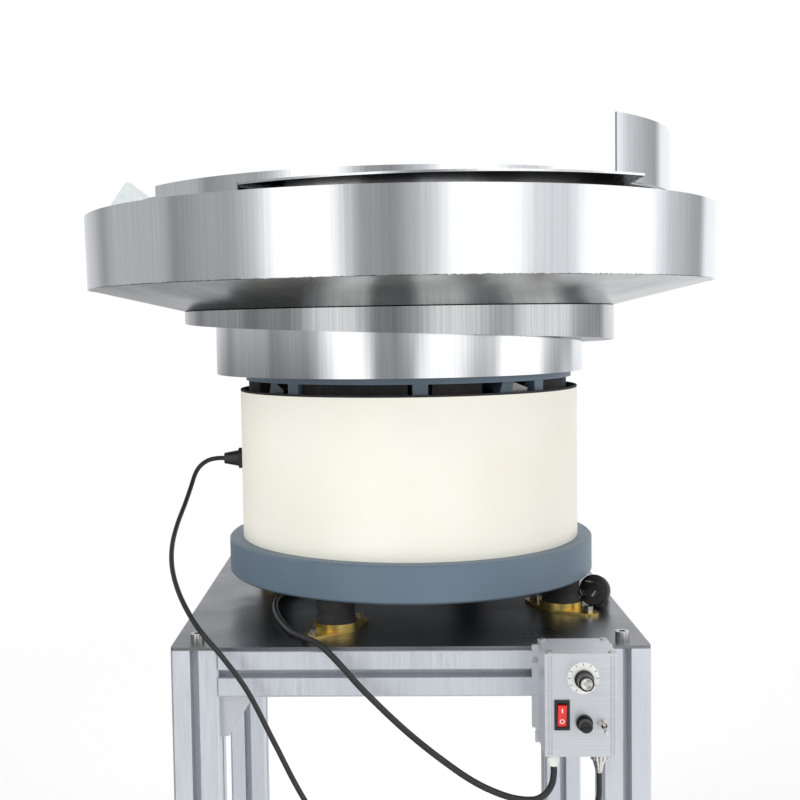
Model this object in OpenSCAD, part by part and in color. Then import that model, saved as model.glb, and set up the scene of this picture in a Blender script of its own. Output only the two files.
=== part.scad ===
// Vibratory cap feeder: a stepped spiral bowl of stainless sheet on an
// electromagnetic spring drive, standing on a slotted aluminium frame with
// a small hand control box on its front rail. All lengths in millimetres.
// +Z is up, the front with the control box faces -Y, and the origin lies on
// the floor below the centre of the bowl.

/* [Stand] */
// Height of the table top above the floor
table_z = 650; // [560:1:800]
// Side of the square table
table_side = 450; // [440:1:500]
// Thickness of the table plate
plate_t = 3; // [2:0.5:5]
// Sideways offset of the stand from the centre of the bowl
table_x = 4; // [0:0.5:8]
// Side of the slotted frame profile
profile_side = 45; // [40:1:50]
// Width of the open slot in the profile
slot_mouth = 8.2; // [8:0.1:10]
// Thickness of the lips beside the slot
slot_lip = 4.5; // [3.5:0.1:6]
// Full width of the hollow behind the lips
slot_root = 17; // [14:0.5:19]
// Depth of the slot from the face of the profile
slot_depth = 14; // [12:0.5:15]
// Height of the slot between the floor and the lower rails
low_rail_z = 110; // [80:1:200]
// Height of the lower end of the posts
post_z = 45; // [40:1:60]
// Diameter of a levelling pad
pad_d = 58; // [50:1:70]
// Height of a levelling pad
pad_h = 16; // [12:1:20]
// Diameter of the levelling stud
stud_d = 12; // [10:1:12]
// Leg of a corner bracket along the rail
bracket_run = 28; // [24:1:34]
// Leg of a corner bracket along the post
bracket_drop = 40; // [34:1:44]
// Width of a corner bracket across the profile
bracket_w = 28; // [24:1:32]

/* [Drive] */
// Offset of the drive axis from the centre of the bowl
drive_x = 10; // [0:0.5:14]
// Radius of the heavy base disc
disc_r = 200; // [190:1:205]
// Thickness of the base disc
disc_t = 38; // [30:1:45]
// Free height between table and base disc
disc_gap = 33; // [28:1:45]
// Radius of the drive cover
cover_r = 185; // [180:1:190]
// Height of the drive cover
cover_h = 160; // [155:1:165]
// Sheet thickness of the cover
cover_t = 1.5; // [1:0.1:3]
// Radius of the casting that carries the bowl
casting_r = 178.6; // [170:0.1:179]
// Height of the casting above the top edge of the cover
casting_over = 19; // [15:1:25]
// Radius on which the rubber feet stand
foot_circle_r = 175; // [170:1:178]
// Diameter of a rubber foot
rubber_d = 40; // [36:1:44]
// Angle of the first rubber foot, seen from above
foot_deg = -116; // [-120:1:-110]
// Number of leaves in each spring pack
leaf_count = 6; // [4:1:7]
// Thickness of one spring leaf
leaf_t = 2.2; // [1.5:0.1:2.4]
// Thickness of the spacers between two leaves
spacer_t = 0.9; // [0.5:0.1:1]
// Radial width of a spring leaf
leaf_w = 34; // [28:1:34]
// Lean of the spring packs from upright
leaf_lean = 20; // [15:1:22]
// Radius of the middle of a spring pack
pack_r = 153; // [146:1:153]
// Angle of the first spring pack, seen from above
pack_deg = -60; // [-61:1:-59]
// Air gap between magnet and armature
air_gap = 1.6; // [1.2:0.1:3]

/* [Bowl] */
// Radius of the lower skirt of the bowl
skirt_r = 200.5; // [198:0.5:203]
// Radius of the band round the first turn of the track
band_r = 234; // [230:1:238]
// Radius of the upper drum of the bowl
drum_r = 246; // [244:1:250]
// Width of the sloping tray outside the band
tray_w = 102; // [98:0.5:106]
// Flare of the outer ring from its lower to its top edge
ring_flare = 1.6; // [0:0.1:3]
// Height of the lower edge of the outer ring above the skirt
ring_low_h = 92; // [88:1:96]
// Height of the outer ring
ring_h = 76; // [70:1:80]
// Height at which the sloping tray meets the band
tray_low_h = 68; // [66:1:72]
// Thickness of the bowl sheet
sheet_t = 2.5; // [2:0.1:3]
// Rise of the spiral track in one turn
track_pitch = 54; // [50:1:56]
// Height of the start of the track above the skirt's lower edge
track_start_h = 19; // [16:1:20]
// Inner radius of the spiral track
track_in_r = 190; // [180:1:195]
// Outer radius of the upper lane's rail
rail_r = 290; // [286:1:294]
// Height of the rail beside the upper lane
rail_h = 8; // [6:0.5:12]
// Height of the tall guard beside the upper lane
guard_h = 62; // [50:1:70]
// Thickness of the upper lane's sheet
lane_t = 2; // [1.5:0.1:3]
// Radius of the front edge of the upper lane
shelf_r = 299; // [296:1:302]
// Inner width of the discharge chute
chute_w = 40; // [36:1:42]
// Height of the chute's side walls
chute_wall_h = 24; // [18:1:30]
// Length of the discharge chute
chute_len = 322; // [300:1:326]
// Slope of the discharge chute in degrees
chute_slope = 8; // [6:0.5:10]
// Thickness of the clear guard plate
clear_t = 3; // [2:0.5:4]

/* [Control] */
// Left side of the control box
box_x = 123; // [118:1:130]
// Width of the control box
box_w = 64; // [60:1:70]
// Lower end of the control box below the table top
box_drop = 85; // [80:1:90]
// Height of the control box
box_h = 93; // [90:1:96]
// Depth of the control box
box_d = 51; // [46:1:56]
// Wall of the extruded box
box_wall = 2; // [1.6:0.1:2.5]
// Thickness of the mounting plate behind the box
holder_t = 4; // [3:0.5:5]
// Diameter of the speed knob
knob_d = 17; // [15:0.5:19]
// Height of the speed knob
knob_h = 15; // [10:0.5:16]
// Radius of the plain number dial
dial_r = 14; // [13:0.5:14.5]
// Width of the rocker switch frame
rocker_w = 13.4; // [12:0.1:15]
// Height of the rocker switch frame
rocker_h = 27; // [24:0.5:29]
// Outer diameter of the metal cord socket
socket_d = 14; // [13:0.5:15]
// Diameter of the drive cord
drive_cord_d = 5; // [4:0.2:6]
// Diameter of the mains cord
mains_cord_d = 6; // [5:0.2:7]
// Diameter of the mains plug body at its face
plug_d = 33; // [30:0.5:36]
// Length of the mains plug body
plug_len = 32; // [30:1:34]

/* [Hidden] */
$fn = 48;
// radial play of a pin in its own hole, play between moving faces, overrun of a cut
fit_gap = 0.05;
move_gap = 0.4;
over = 1;
turn_deg = 360;

// heights of the stack above the floor
plate_z = table_z - plate_t;
disc_z = table_z + disc_gap;
deck_z = disc_z + disc_t;
rim_z = deck_z + cover_h;
bowl_z = rim_z + casting_over;
tray_z = bowl_z + tray_low_h;
ring_z = bowl_z + ring_low_h;
ring_top_z = ring_z + ring_h;
ring_low_r = band_r + tray_w;
ring_top_r = ring_low_r + ring_flare;
track_z = bowl_z + track_start_h;
track_turns = 3;
lane_z = track_z + track_turns * track_pitch - lane_t;

// corners of the stand
post_c = table_side / 2 - profile_side / 2;
rail_len = table_side - 2 * profile_side;
inner_c = table_side / 2 - profile_side;

module at_corners() {
  for (sx = [-1, 1], sy = [-1, 1])
    translate([table_x + sx * post_c, sy * post_c, 0]) children();
}

// slotted profile, seen along its length
profile_core_d = 8.2;
slot_step = 3;
slot_floor = 7;
edge_round = 2;
module slot_shape() {
  face = profile_side / 2;
  polygon([
    [face + over, -slot_mouth / 2], [face - slot_lip, -slot_mouth / 2],
    [face - slot_lip, -slot_root / 2],
    [face - slot_lip - slot_step, -slot_root / 2],
    [face - slot_depth, -slot_floor / 2], [face - slot_depth, slot_floor / 2],
    [face - slot_lip - slot_step, slot_root / 2],
    [face - slot_lip, slot_root / 2], [face - slot_lip, slot_mouth / 2],
    [face + over, slot_mouth / 2]]);
}
module profile_shape() {
  half = profile_side / 2;
  cut = edge_round;
  difference() {
    polygon([
      [half - cut, -half], [half, -half + cut], [half, half - cut],
      [half - cut, half], [cut - half, half], [-half, half - cut],
      [-half, cut - half], [cut - half, -half]]);
    for (turn = [0 : 90 : 270]) rotate(turn) slot_shape();
  }
}
module profile_bar(len) {
  difference() {
    linear_extrude(len) profile_shape();
    translate([0, 0, -over]) cylinder(d = profile_core_d, h = len + 2 * over);
  }
}

// The four upright posts; the levelling studs screw into their lower ends
stud_bite = 42;
stud_play = stud_d / 2 + fit_gap;
module holder_cut() at_holder_screws(holder_screw_z)
  translate([0, -over, 0]) rotate([-90, 0, 0])
    cylinder(r = holder_hole_r, h = holder_screw_bite + 2 * over);
module posts() color("silver") difference() {
  at_corners() translate([0, 0, post_z]) difference() {
    profile_bar(plate_z - post_z);
    translate([0, 0, -over]) cylinder(r = stud_play, h = stud_bite + over);
  }
  holder_cut();
}

// Four rails between the posts at one height
module rail_set(z) {
  for (turn = [0 : 90 : 270])
    translate([table_x, 0, z + profile_side / 2]) rotate([0, 0, turn])
      translate([-rail_len / 2, -post_c, 0]) rotate([0, 90, 0])
        profile_bar(rail_len);
}
top_rail_z = plate_z - profile_side;
module rails() color("silver") {
  difference() {
    rail_set(top_rail_z);
    holder_cut();
  }
  rail_set(low_rail_z);
}

// One cast corner bracket: two plates and two side webs, corner at the origin
bracket_t = 5;
bracket_web = 3.5;
bracket_nose = 8;
bracket_hole_d = 6.4;
bracket_screw_share = 0.56;
module bracket() {
  difference() {
    union() {
      translate([0, -bracket_w / 2, -bracket_drop])
        cube([bracket_t, bracket_w, bracket_drop]);
      translate([0, -bracket_w / 2, -bracket_t])
        cube([bracket_run, bracket_w, bracket_t]);
      for (side = [-1, 1])
        translate([0, side * (bracket_w - bracket_web) / 2 + bracket_web / 2, 0])
          rotate([90, 0, 0]) linear_extrude(bracket_web)
            polygon([
              [0, 0], [bracket_run, 0], [bracket_run, -bracket_nose],
              [bracket_nose, -bracket_drop], [0, -bracket_drop]]);
    }
    translate([bracket_run * bracket_screw_share, 0, -bracket_t - over])
      cylinder(d = bracket_hole_d, h = bracket_t + 2 * over);
    translate([-over, 0, -bracket_drop * bracket_screw_share])
      rotate([0, 90, 0]) cylinder(d = bracket_hole_d, h = bracket_t + 2 * over);
  }
}
// Places children at the two ends of each rail, below it or, flipped, above it
module at_rail_ends(z, flip) {
  for (turn = [0 : 90 : 270], end = [0, 1])
    translate([table_x, 0, z]) rotate([0, 0, turn])
      mirror([end, 0, 0]) translate([-inner_c, -post_c, 0])
        mirror([0, 0, flip]) children();
}
low_bracket_z = low_rail_z + profile_side;
module brackets() color("gainsboro") {
  at_rail_ends(top_rail_z, 0) bracket();
  at_rail_ends(low_bracket_z, 1) bracket();
}

// Button head screws of the brackets, with their nuts in the slots
screw_d = 6;
screw_head_d = 10.5;
screw_head_h = 3.4;
screw_len = 12;
socket_share = 0.5;
module button_screw() {
  difference() {
    cylinder(d = screw_head_d, h = screw_head_h);
    translate([0, 0, screw_head_h * socket_share])
      cylinder(d = screw_head_d * socket_share, h = screw_head_h, $fn = 6);
  }
  translate([0, 0, -screw_len]) cylinder(d = screw_d, h = screw_len + fit_gap);
}
// square nut behind the lips of a slot, on the end of its screw
slot_nut_d = 18;
module slot_screw() {
  button_screw();
  translate([0, 0, -screw_len]) rotate([0, 0, 45])
    cylinder(d = slot_nut_d, h = screw_len - bracket_t - slot_lip, $fn = 4);
}
module bracket_screw_pair() {
  translate([bracket_run * bracket_screw_share, 0, -bracket_t])
    rotate([180, 0, 0]) slot_screw();
  translate([bracket_t, 0, -bracket_drop * bracket_screw_share])
    rotate([0, 90, 0]) slot_screw();
}
module bracket_screws() color("lightgray") {
  at_rail_ends(top_rail_z, 0) bracket_screw_pair();
  at_rail_ends(low_bracket_z, 1) bracket_screw_pair();
}

// Levelling feet: pad, stud with its ball end, and lock nut under the post
stud_seat = 6;
pad_neck_d = 26;
pad_edge_h = 7;
nut_af = 19;
nut_h = 8;
function hex_d(af) = af / cos(30);
module levelling_pads() color("dimgray") at_corners()
  rotate_extrude() polygon([
    [0, 0], [pad_d / 2, 0], [pad_d / 2, pad_edge_h],
    [pad_neck_d / 2, pad_h], [stud_play, pad_h], [stud_play, stud_seat],
    [0, stud_seat]]);
module levelling_studs() color("lightgray") at_corners() {
  translate([0, 0, stud_seat])
    cylinder(d = stud_d, h = post_z + stud_bite - stud_seat - over);
  translate([0, 0, post_z - nut_h]) difference() {
    cylinder(d = hex_d(nut_af), h = nut_h, $fn = 6);
    translate([0, 0, -over]) cylinder(r = stud_play, h = nut_h + 2 * over);
  }
}

// Table plate with its corner holes and the holes of the foot flanges
plate_corner_r = 4;
corner_hole_d = 9;
flange_hole_d = 5.6;
flange_ear_r = 38;
ear_angles = [-125, -50, 55, 130];
module at_feet() {
  for (i = [0 : 3]) {
    a = foot_deg + 90 * i;
    translate([drive_x + foot_circle_r * cos(a), foot_circle_r * sin(a), table_z])
      rotate([0, 0, ear_angles[i]]) children();
  }
}
module at_ears() {
  at_feet() for (side = [-1, 1]) translate([side * flange_ear_r, 0, 0]) children();
}
module table_plate() color("slategray") difference() {
  translate([table_x, 0, plate_z]) linear_extrude(plate_t)
    offset(plate_corner_r)
      square(table_side - 2 * plate_corner_r, center = true);
  at_corners() translate([0, 0, plate_z - over])
    cylinder(d = corner_hole_d, h = plate_t + 2 * over);
  at_ears() translate([0, 0, -plate_t - over])
    cylinder(d = flange_hole_d, h = plate_t + 2 * over);
}

// Socket head bolts that hold the plate down into the posts
bolt_head_d = 13;
bolt_head_h = 8;
bolt_d = 8;
bolt_len = 28;
bolt_socket_d = 7;
bolt_socket_h = 4;
module plate_bolts() color("lightgray") at_corners() translate([0, 0, table_z]) {
  difference() {
    cylinder(d = bolt_head_d, h = bolt_head_h);
    translate([0, 0, bolt_head_h - bolt_socket_h])
      cylinder(d = bolt_socket_d, h = bolt_socket_h + over, $fn = 6);
  }
  translate([0, 0, -bolt_len]) cylinder(d = bolt_d, h = bolt_len + fit_gap);
}

// Pressed flanges under the rubber feet: an eared plate with a raised cup
flange_t = 2.5;
ear_r = 10;
cup_r = rubber_d / 2 + fit_gap;
cup_t = 2.5;
cup_h = 9;
module foot_flanges() color("goldenrod") at_feet() difference() {
  union() {
    linear_extrude(flange_t) hull() {
      for (side = [-1, 1]) translate([side * flange_ear_r, 0]) circle(ear_r);
      circle(cup_r + cup_t);
    }
    cylinder(r = cup_r + cup_t, h = cup_h);
  }
  translate([0, 0, flange_t]) cylinder(r = cup_r, h = cup_h);
  for (side = [-1, 1]) translate([side * flange_ear_r, 0, -over])
    cylinder(d = flange_hole_d, h = flange_t + 2 * over);
}
flange_bolt_d = 5;
flange_bolt_head_d = 8.8;
flange_bolt_head_h = 6;
flange_bolt_len = flange_t + plate_t;
module flange_bolts() color("lightgray") at_ears() translate([0, 0, flange_t]) {
  cylinder(d = flange_bolt_head_d, h = flange_bolt_head_h, $fn = 6);
  translate([0, 0, -flange_bolt_len])
    cylinder(d = flange_bolt_d, h = flange_bolt_len + fit_gap);
}
rubber_waist = 1.5;
module rubber_feet() color("black") at_feet() translate([0, 0, flange_t]) {
  tall = disc_gap - flange_t;
  rotate_extrude() polygon([
    [0, 0], [rubber_d / 2, 0], [rubber_d / 2, cup_h - flange_t],
    [rubber_d / 2 - rubber_waist, tall / 2], [rubber_d / 2, tall], [0, tall]]);
}

// Heavy base disc of the drive
disc_edge = 2;
module base_disc() color("steelblue") translate([drive_x, 0, disc_z])
  rotate_extrude() polygon([
    [0, 0], [disc_r - disc_edge, 0], [disc_r, disc_edge],
    [disc_r, disc_t - disc_edge], [disc_r - disc_edge, disc_t], [0, disc_t]]);

// Sheet cover round the drive, with the hole of the cord gland on its left
gland_h = 83;
gland_z = deck_z + gland_h;
gland_hole_r = 8.2;
module drive_cover() color("ivory") difference() {
  translate([drive_x, 0, deck_z]) difference() {
    cylinder(r = cover_r, h = cover_h);
    translate([0, 0, -over]) cylinder(r = cover_r - cover_t, h = cover_h + 2 * over);
  }
  translate([drive_x - cover_r, 0, gland_z]) rotate([0, 90, 0])
    cylinder(r = gland_hole_r, h = 2 * over + 2 * cover_t, center = true);
}
// Rubber edge strip pushed over the cover's top edge, clear of the casting
seal_h = 3;
seal_lip = 10;
seal_t = 1.6;
module cover_seal() color("black") translate([drive_x, 0, rim_z])
  rotate_extrude() polygon([
    [cover_r - cover_t - seal_t, -seal_lip], [cover_r - cover_t, -seal_lip],
    [cover_r - cover_t, 0], [cover_r, 0], [cover_r, seal_h - over],
    [cover_r - cover_t - seal_t, seal_h - over]]);

// Electromagnet: a laminated core with three legs, and a coil on the middle one
core_w = 96;
core_d = 44;
core_yoke = 24;
core_h = 92;
leg_w = 16;
mid_leg_w = 30;
coil_gap = 1.5;
module magnet_core() color("gray") translate([drive_x, 0, deck_z]) {
  translate([-core_w / 2, -core_d / 2, 0]) cube([core_w, core_d, core_yoke]);
  for (side = [-1, 1])
    translate([side * (core_w - leg_w) / 2 - leg_w / 2, -core_d / 2, core_yoke])
      cube([leg_w, core_d, core_h - core_yoke]);
  translate([-mid_leg_w / 2, -core_d / 2, core_yoke])
    cube([mid_leg_w, core_d, core_h - core_yoke]);
}
coil_top = 6;
coil_t = (core_w - mid_leg_w) / 2 - leg_w - coil_gap;
module magnet_coil() color("sienna") translate([drive_x, 0, deck_z + core_yoke])
  difference() {
    translate([-mid_leg_w / 2 - coil_t, -core_d / 2 - coil_t, 0])
      cube([mid_leg_w + 2 * coil_t, core_d + 2 * coil_t, core_h - core_yoke - coil_top]);
    translate([-mid_leg_w / 2 - fit_gap, -core_d / 2 - fit_gap, -over])
      cube([mid_leg_w + 2 * fit_gap, core_d + 2 * fit_gap, core_h]);
  }
armature_h = 18;
armature_z = deck_z + core_h + air_gap;
module armature() color("gray") translate([drive_x, 0, armature_z])
  translate([-core_w / 2, -core_d / 2, 0]) cube([core_w, core_d, armature_h]);

// Casting on top of the springs: a disc with arms, a hub and clamp blocks
casting_plate_t = 7;
casting_z = bowl_z - casting_plate_t;
arm_w = 15;
arm_h = 42;
arm_count = 8;
arm_deg = 3;
arm_in = 40;
arm_out = 3;
arm_short_in = 163;
hub_r = 52;
bolt_m = 16;
clamp_deep_low = 22;
clamp_deep_up = 14;
clamp_h = 40;
face_gap = 0.01;
pack_t = leaf_count * leaf_t + (leaf_count - 1) * spacer_t;
pack_span = casting_z - deck_z;
pack_half_y = pack_t / cos(leaf_lean) / 2;
clamp_bolt_d = 10;
clamp_bolt_af = 15;
clamp_bolt_h = 6;
clamp_play = clamp_bolt_d / 2 + fit_gap;
// A pack leans counter-clockwise on its way up, its middle on its own angle
function lean_y(z) = (z - pack_span / 2) * tan(leaf_lean);
module at_packs() {
  for (i = [0 : 3])
    translate([drive_x, 0, deck_z]) rotate([0, 0, pack_deg + 90 * i])
      translate([pack_r, 0, 0]) children();
}
module lean_frame() {
  translate([0, lean_y(0), 0]) rotate([-leaf_lean, 0, 0]) children();
}
// Leaf ends and bolt heights, measured along the leaning pack
leaf_end = 1.2;
leaf_skew = pack_t * tan(leaf_lean) / 2;
leaf_start = leaf_end + leaf_skew;
leaf_len = pack_span / cos(leaf_lean) - 2 * leaf_start;
low_hole = clamp_h / 2 / cos(leaf_lean) + leaf_skew;
high_hole = pack_span / cos(leaf_lean) - low_hole;
// Block on the clockwise side of a pack, parallel to it, with its bolt hole
module clamp_block(z0, z1, deep, hole) {
  edge0 = lean_y(z0) - pack_half_y - face_gap;
  edge1 = lean_y(z1) - pack_half_y - face_gap;
  difference() {
    translate([-leaf_w / 2, 0, 0]) rotate([90, 0, 90]) linear_extrude(leaf_w)
      polygon([[edge0 - deep, z0], [edge0, z0], [edge1, z1], [edge1 - deep, z1]]);
    lean_frame() translate([0, -pack_t - deep, hole]) rotate([-90, 0, 0])
      cylinder(r = clamp_play, h = pack_t + deep);
  }
}
module drive_casting() color("slategray") {
  difference() {
    translate([drive_x, 0, casting_z]) cylinder(r = casting_r, h = casting_plate_t);
    translate([drive_x, 0, casting_z - over])
      cylinder(d = bolt_m, h = casting_plate_t + 2 * over);
  }
  difference() {
    translate([drive_x, 0, armature_z + armature_h])
      cylinder(r = hub_r, h = casting_z - armature_z - armature_h);
    translate([drive_x, 0, armature_z + armature_h + over])
      cylinder(d = bolt_m, h = casting_z - armature_z);
  }
  translate([drive_x, 0, casting_z - arm_h]) for (i = [0 : arm_count - 1]) {
    from = (i % 2 == 0) ? arm_in : arm_short_in;
    rotate([0, 0, arm_deg + turn_deg / arm_count * i]) translate([from, -arm_w / 2, 0])
      cube([casting_r - arm_out - from, arm_w, arm_h]);
  }
  at_packs() clamp_block(pack_span - clamp_h, pack_span, clamp_deep_up, high_hole);
}
module lower_clamps() color("slategray") at_packs()
  clamp_block(0, clamp_h, clamp_deep_low, low_hole);

// Leaf springs: packs of thin leaves with spacers at both clamped ends
leaf_hole_d = 10.4;
spacer_share = 0.8;
spacer_len = clamp_h * spacer_share;
module pack_cut(height) {
  translate([0, -pack_t, height]) rotate([-90, 0, 0])
    cylinder(d = leaf_hole_d, h = 2 * pack_t);
}
module leaf_springs() color("silver") at_packs() lean_frame() difference() {
  union() {
    for (i = [0 : leaf_count - 1])
      translate([-leaf_w / 2, -pack_t / 2 + i * (leaf_t + spacer_t), leaf_start])
        cube([leaf_w, leaf_t, leaf_len]);
    for (i = [1 : leaf_count - 1], z = [leaf_start, leaf_start + leaf_len - spacer_len])
      translate([-leaf_w / 2, -pack_t / 2 + i * (leaf_t + spacer_t) - spacer_t, z])
        cube([leaf_w, spacer_t, spacer_len]);
  }
  pack_cut(low_hole);
  pack_cut(high_hole);
}
// Clamp plates on the outer face of each pack, and the bolts through them
clamp_plate_t = 5;
clamp_plate_len = 28;
module clamp_plate(height) {
  translate([-leaf_w / 2, pack_t / 2, height - clamp_plate_len / 2]) difference() {
    cube([leaf_w, clamp_plate_t, clamp_plate_len]);
    translate([leaf_w / 2, -over, clamp_plate_len / 2]) rotate([-90, 0, 0])
      cylinder(r = clamp_play, h = clamp_plate_t + 2 * over);
  }
}
// A bolt enters through its block and ends in the clamp plate
module clamp_bolt(height, deep) {
  reach = pack_t + clamp_plate_t + deep * cos(leaf_lean);
  translate([0, pack_t / 2 + clamp_plate_t - reach, height]) rotate([-90, 0, 0]) {
    translate([0, 0, -clamp_bolt_h])
      cylinder(d = hex_d(clamp_bolt_af), h = clamp_bolt_h, $fn = 6);
    translate([0, 0, -fit_gap]) cylinder(d = clamp_bolt_d, h = reach + fit_gap);
  }
}
module upper_bolts() color("dimgray") at_packs() lean_frame() {
  clamp_plate(high_hole);
  clamp_bolt(high_hole, clamp_deep_up);
}
module lower_bolts() color("dimgray") at_packs() lean_frame() {
  clamp_plate(low_hole);
  clamp_bolt(low_hole, clamp_deep_low);
}

// Dark padding between the arms of the casting, left out beside the springs
pad_in = 160;
pad_out = 172;
pad_drop = 40;
pad_edge_deg = 4;
pad_turn = turn_deg / arm_count;
pad_short_deg = 17;
module pocket_pads() color("black") translate([drive_x, 0, casting_z - pad_drop])
  for (i = [0 : arm_count - 1]) {
    wide = (i % 2 == 1) ? pad_turn - 2 * pad_edge_deg : pad_short_deg;
    rotate([0, 0, arm_deg + pad_turn * i + pad_edge_deg])
      rotate_extrude(angle = wide) translate([pad_in, 0])
        square([pad_out - pad_in, pad_drop]);
  }

// the bowl, built round the origin
// Flat clamping plate of the bowl with its centre post
base_plate_t = 3;
post_r = 24;
floor_rise = 14;
floor_flat_r = 46;
bolt_play = bolt_m / 2 + 10 * fit_gap;
floor_edge_z = track_z - sheet_t;
floor_mid_z = floor_edge_z + floor_rise;
skirt_in = skirt_r - base_plate_t;
module bowl_base() color("silver") difference() {
  union() {
    translate([0, 0, bowl_z]) cylinder(r = skirt_in - fit_gap, h = base_plate_t);
    translate([drive_x, 0, bowl_z + base_plate_t])
      cylinder(r = post_r, h = floor_mid_z - bowl_z - base_plate_t);
  }
  translate([drive_x, 0, bowl_z - over])
    cylinder(r = bolt_play, h = floor_mid_z - bowl_z + 2 * over);
}
// Domed floor that sheds the caps towards the track
module bowl_floor() color("silver") difference() {
  rotate_extrude() polygon([
    [0, floor_mid_z], [floor_flat_r, floor_mid_z],
    [skirt_in - fit_gap, floor_edge_z], [skirt_in - fit_gap, floor_edge_z + sheet_t],
    [floor_flat_r, floor_mid_z + sheet_t], [0, floor_mid_z + sheet_t]]);
  translate([drive_x, 0, floor_mid_z - over])
    cylinder(r = bolt_play, h = sheet_t + 2 * over);
}
bowl_bolt_head_h = 10;
bowl_bolt_af = 24;
washer_r = 22;
washer_t = 3;
bowl_bolt_bite = 26;
module bowl_bolts() color("lightgray") {
  guard_screw();
  translate([drive_x, 0, floor_mid_z + sheet_t]) {
    cylinder(r = washer_r, h = washer_t);
    translate([0, 0, washer_t])
      cylinder(d = hex_d(bowl_bolt_af), h = bowl_bolt_head_h, $fn = 6);
    translate([0, 0, bowl_z - bowl_bolt_bite - floor_mid_z - sheet_t])
      cylinder(d = bolt_m - 2 * fit_gap,
        h = floor_mid_z + sheet_t - bowl_z + bowl_bolt_bite + fit_gap);
  }
}

// the spiral: clockwise rise seen from above, starting at the back
start_deg = 90;
step_deg = 6;
function spiral_z(turned) = track_z - sheet_t + track_pitch * turned / turn_deg;

// Closed ribbon round the bowl. Each row is [turned degrees, inner radius,
// outer radius, lower height, upper height]
function ring_points(rows) = [for (row = rows)
  let (a = start_deg - row[0])
  for (corner = [[row[1], row[3]], [row[2], row[3]], [row[2], row[4]], [row[1], row[4]]])
    [corner[0] * cos(a), corner[0] * sin(a), corner[1]]];
function ring_faces(n) = concat(
  [[0, 1, 2, 3]], [[for (k = [3 : -1 : 0]) 4 * (n - 1) + k]],
  [for (i = [0 : n - 2], k = [0 : 3])
    let (a = 4 * i + k, b = 4 * i + (k + 1) % 4)
    for (tri = [[b, a, b + 4], [b + 4, a, a + 4]]) tri]);
module ribbon(rows) {
  polyhedron(points = ring_points(rows), faces = ring_faces(len(rows)));
}

// Region above the spiral for cutting a wall to the line of the track
cut_end_deg = 359.4;
cut_rows = 60;
cut_step = cut_end_deg / cut_rows;
module above_spiral(r_in, r_out, z_top) {
  ribbon([for (k = [0 : cut_rows])
    let (t = k * cut_step) [t, r_in, r_out, spiral_z(t), z_top]]);
}
module below_spiral(r_in, r_out, z_low) {
  ribbon([for (k = [0 : cut_rows])
    let (t = k * cut_step) [t, r_in, r_out, z_low, spiral_z(t)]]);
}
cut_wide = 12;
weld_gap = 0.1;
skirt_h = spiral_z(cut_end_deg) - 3 * weld_gap - bowl_z;
module bowl_skirt() color("silver") difference() {
  translate([0, 0, bowl_z]) difference() {
    cylinder(r = skirt_r, h = skirt_h);
    translate([0, 0, -over]) cylinder(r = skirt_in, h = skirt_h + 2 * over);
  }
  translate([0, 0, -weld_gap])
    above_spiral(skirt_r - cut_wide, skirt_r + cut_wide, bowl_z + skirt_h + 4 * over);
}
band_in = band_r - sheet_t;
riser_t = 2;
module step_band() color("silver") {
  difference() {
    translate([0, 0, floor_edge_z - over]) difference() {
      cylinder(r = band_r, h = tray_z - floor_edge_z + over);
      translate([0, 0, -over])
        cylinder(r = band_in, h = tray_z - floor_edge_z + 3 * over);
    }
    below_spiral(band_r - cut_wide, band_r + cut_wide, floor_edge_z - 3 * over);
  }
  // riser that closes the first turn at its start, below the end of that turn
  translate([0, skirt_r + weld_gap, track_z + 2 * weld_gap])
    cube([riser_t, band_in - skirt_r, track_pitch - sheet_t - 4 * weld_gap]);
}
// The track itself: three turns, the upper two reaching out to the drum
drum_in = drum_r - sheet_t;
track_wide_deg = 426;
track_rows = track_turns * turn_deg / step_deg;
function track_out(t) = t < track_wide_deg ? band_in - weld_gap : drum_in - weld_gap;
module spiral_track() color("silver")
  ribbon([for (k = [0 : track_rows])
    let (t = k * step_deg)
    [t, t < turn_deg ? skirt_in : track_in_r, track_out(t), spiral_z(t), spiral_z(t) + sheet_t]]);

// Sloping tray outside the track, falling back towards the drum
module tray_cone() color("silver") rotate_extrude() polygon([
  [band_in, tray_z], [ring_low_r - sheet_t - weld_gap, ring_z],
  [ring_low_r - sheet_t - weld_gap, ring_z + sheet_t],
  [band_in, tray_z + sheet_t]]);

// Outer ring, cut where the discharge chute leaves
module ring_wall() rotate_extrude() polygon([
  [ring_low_r - sheet_t, ring_z], [ring_low_r, ring_z],
  [ring_top_r, ring_top_z], [ring_top_r - sheet_t, ring_top_z]]);
chute_x = -drum_r - move_gap - lane_t - chute_w / 2;
notch_side = 3;
notch_low = 56;
notch_y = 150;
notch_len = 100;
module chute_notch() {
  translate([chute_x - chute_w / 2 - lane_t - notch_side, notch_y, lane_z - notch_low])
    cube([chute_w + 2 * lane_t + 2 * notch_side, notch_len, notch_low + 2 * over]);
}
module outer_ring() color("silver") difference() {
  ring_wall();
  chute_notch();
}

// Upper drum that carries the last two turns, with the return window
window_w = 60;
window_h = 34;
window_deg = 80;
drum_z = tray_z + sheet_t
  + (drum_r - band_in) * (ring_z - tray_z) / (ring_low_r - sheet_t - weld_gap - band_in);
module bowl_drum() color("silver") difference() {
  translate([0, 0, drum_z]) difference() {
    cylinder(r = drum_r, h = lane_z - drum_z);
    translate([0, 0, -over]) cylinder(r = drum_in, h = lane_z - drum_z + 2 * over);
  }
  rotate([0, 0, window_deg])
    translate([drum_in - cut_wide, -window_w / 2, drum_z - over])
      cube([2 * cut_wide, window_w, window_h + over]);
}

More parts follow.
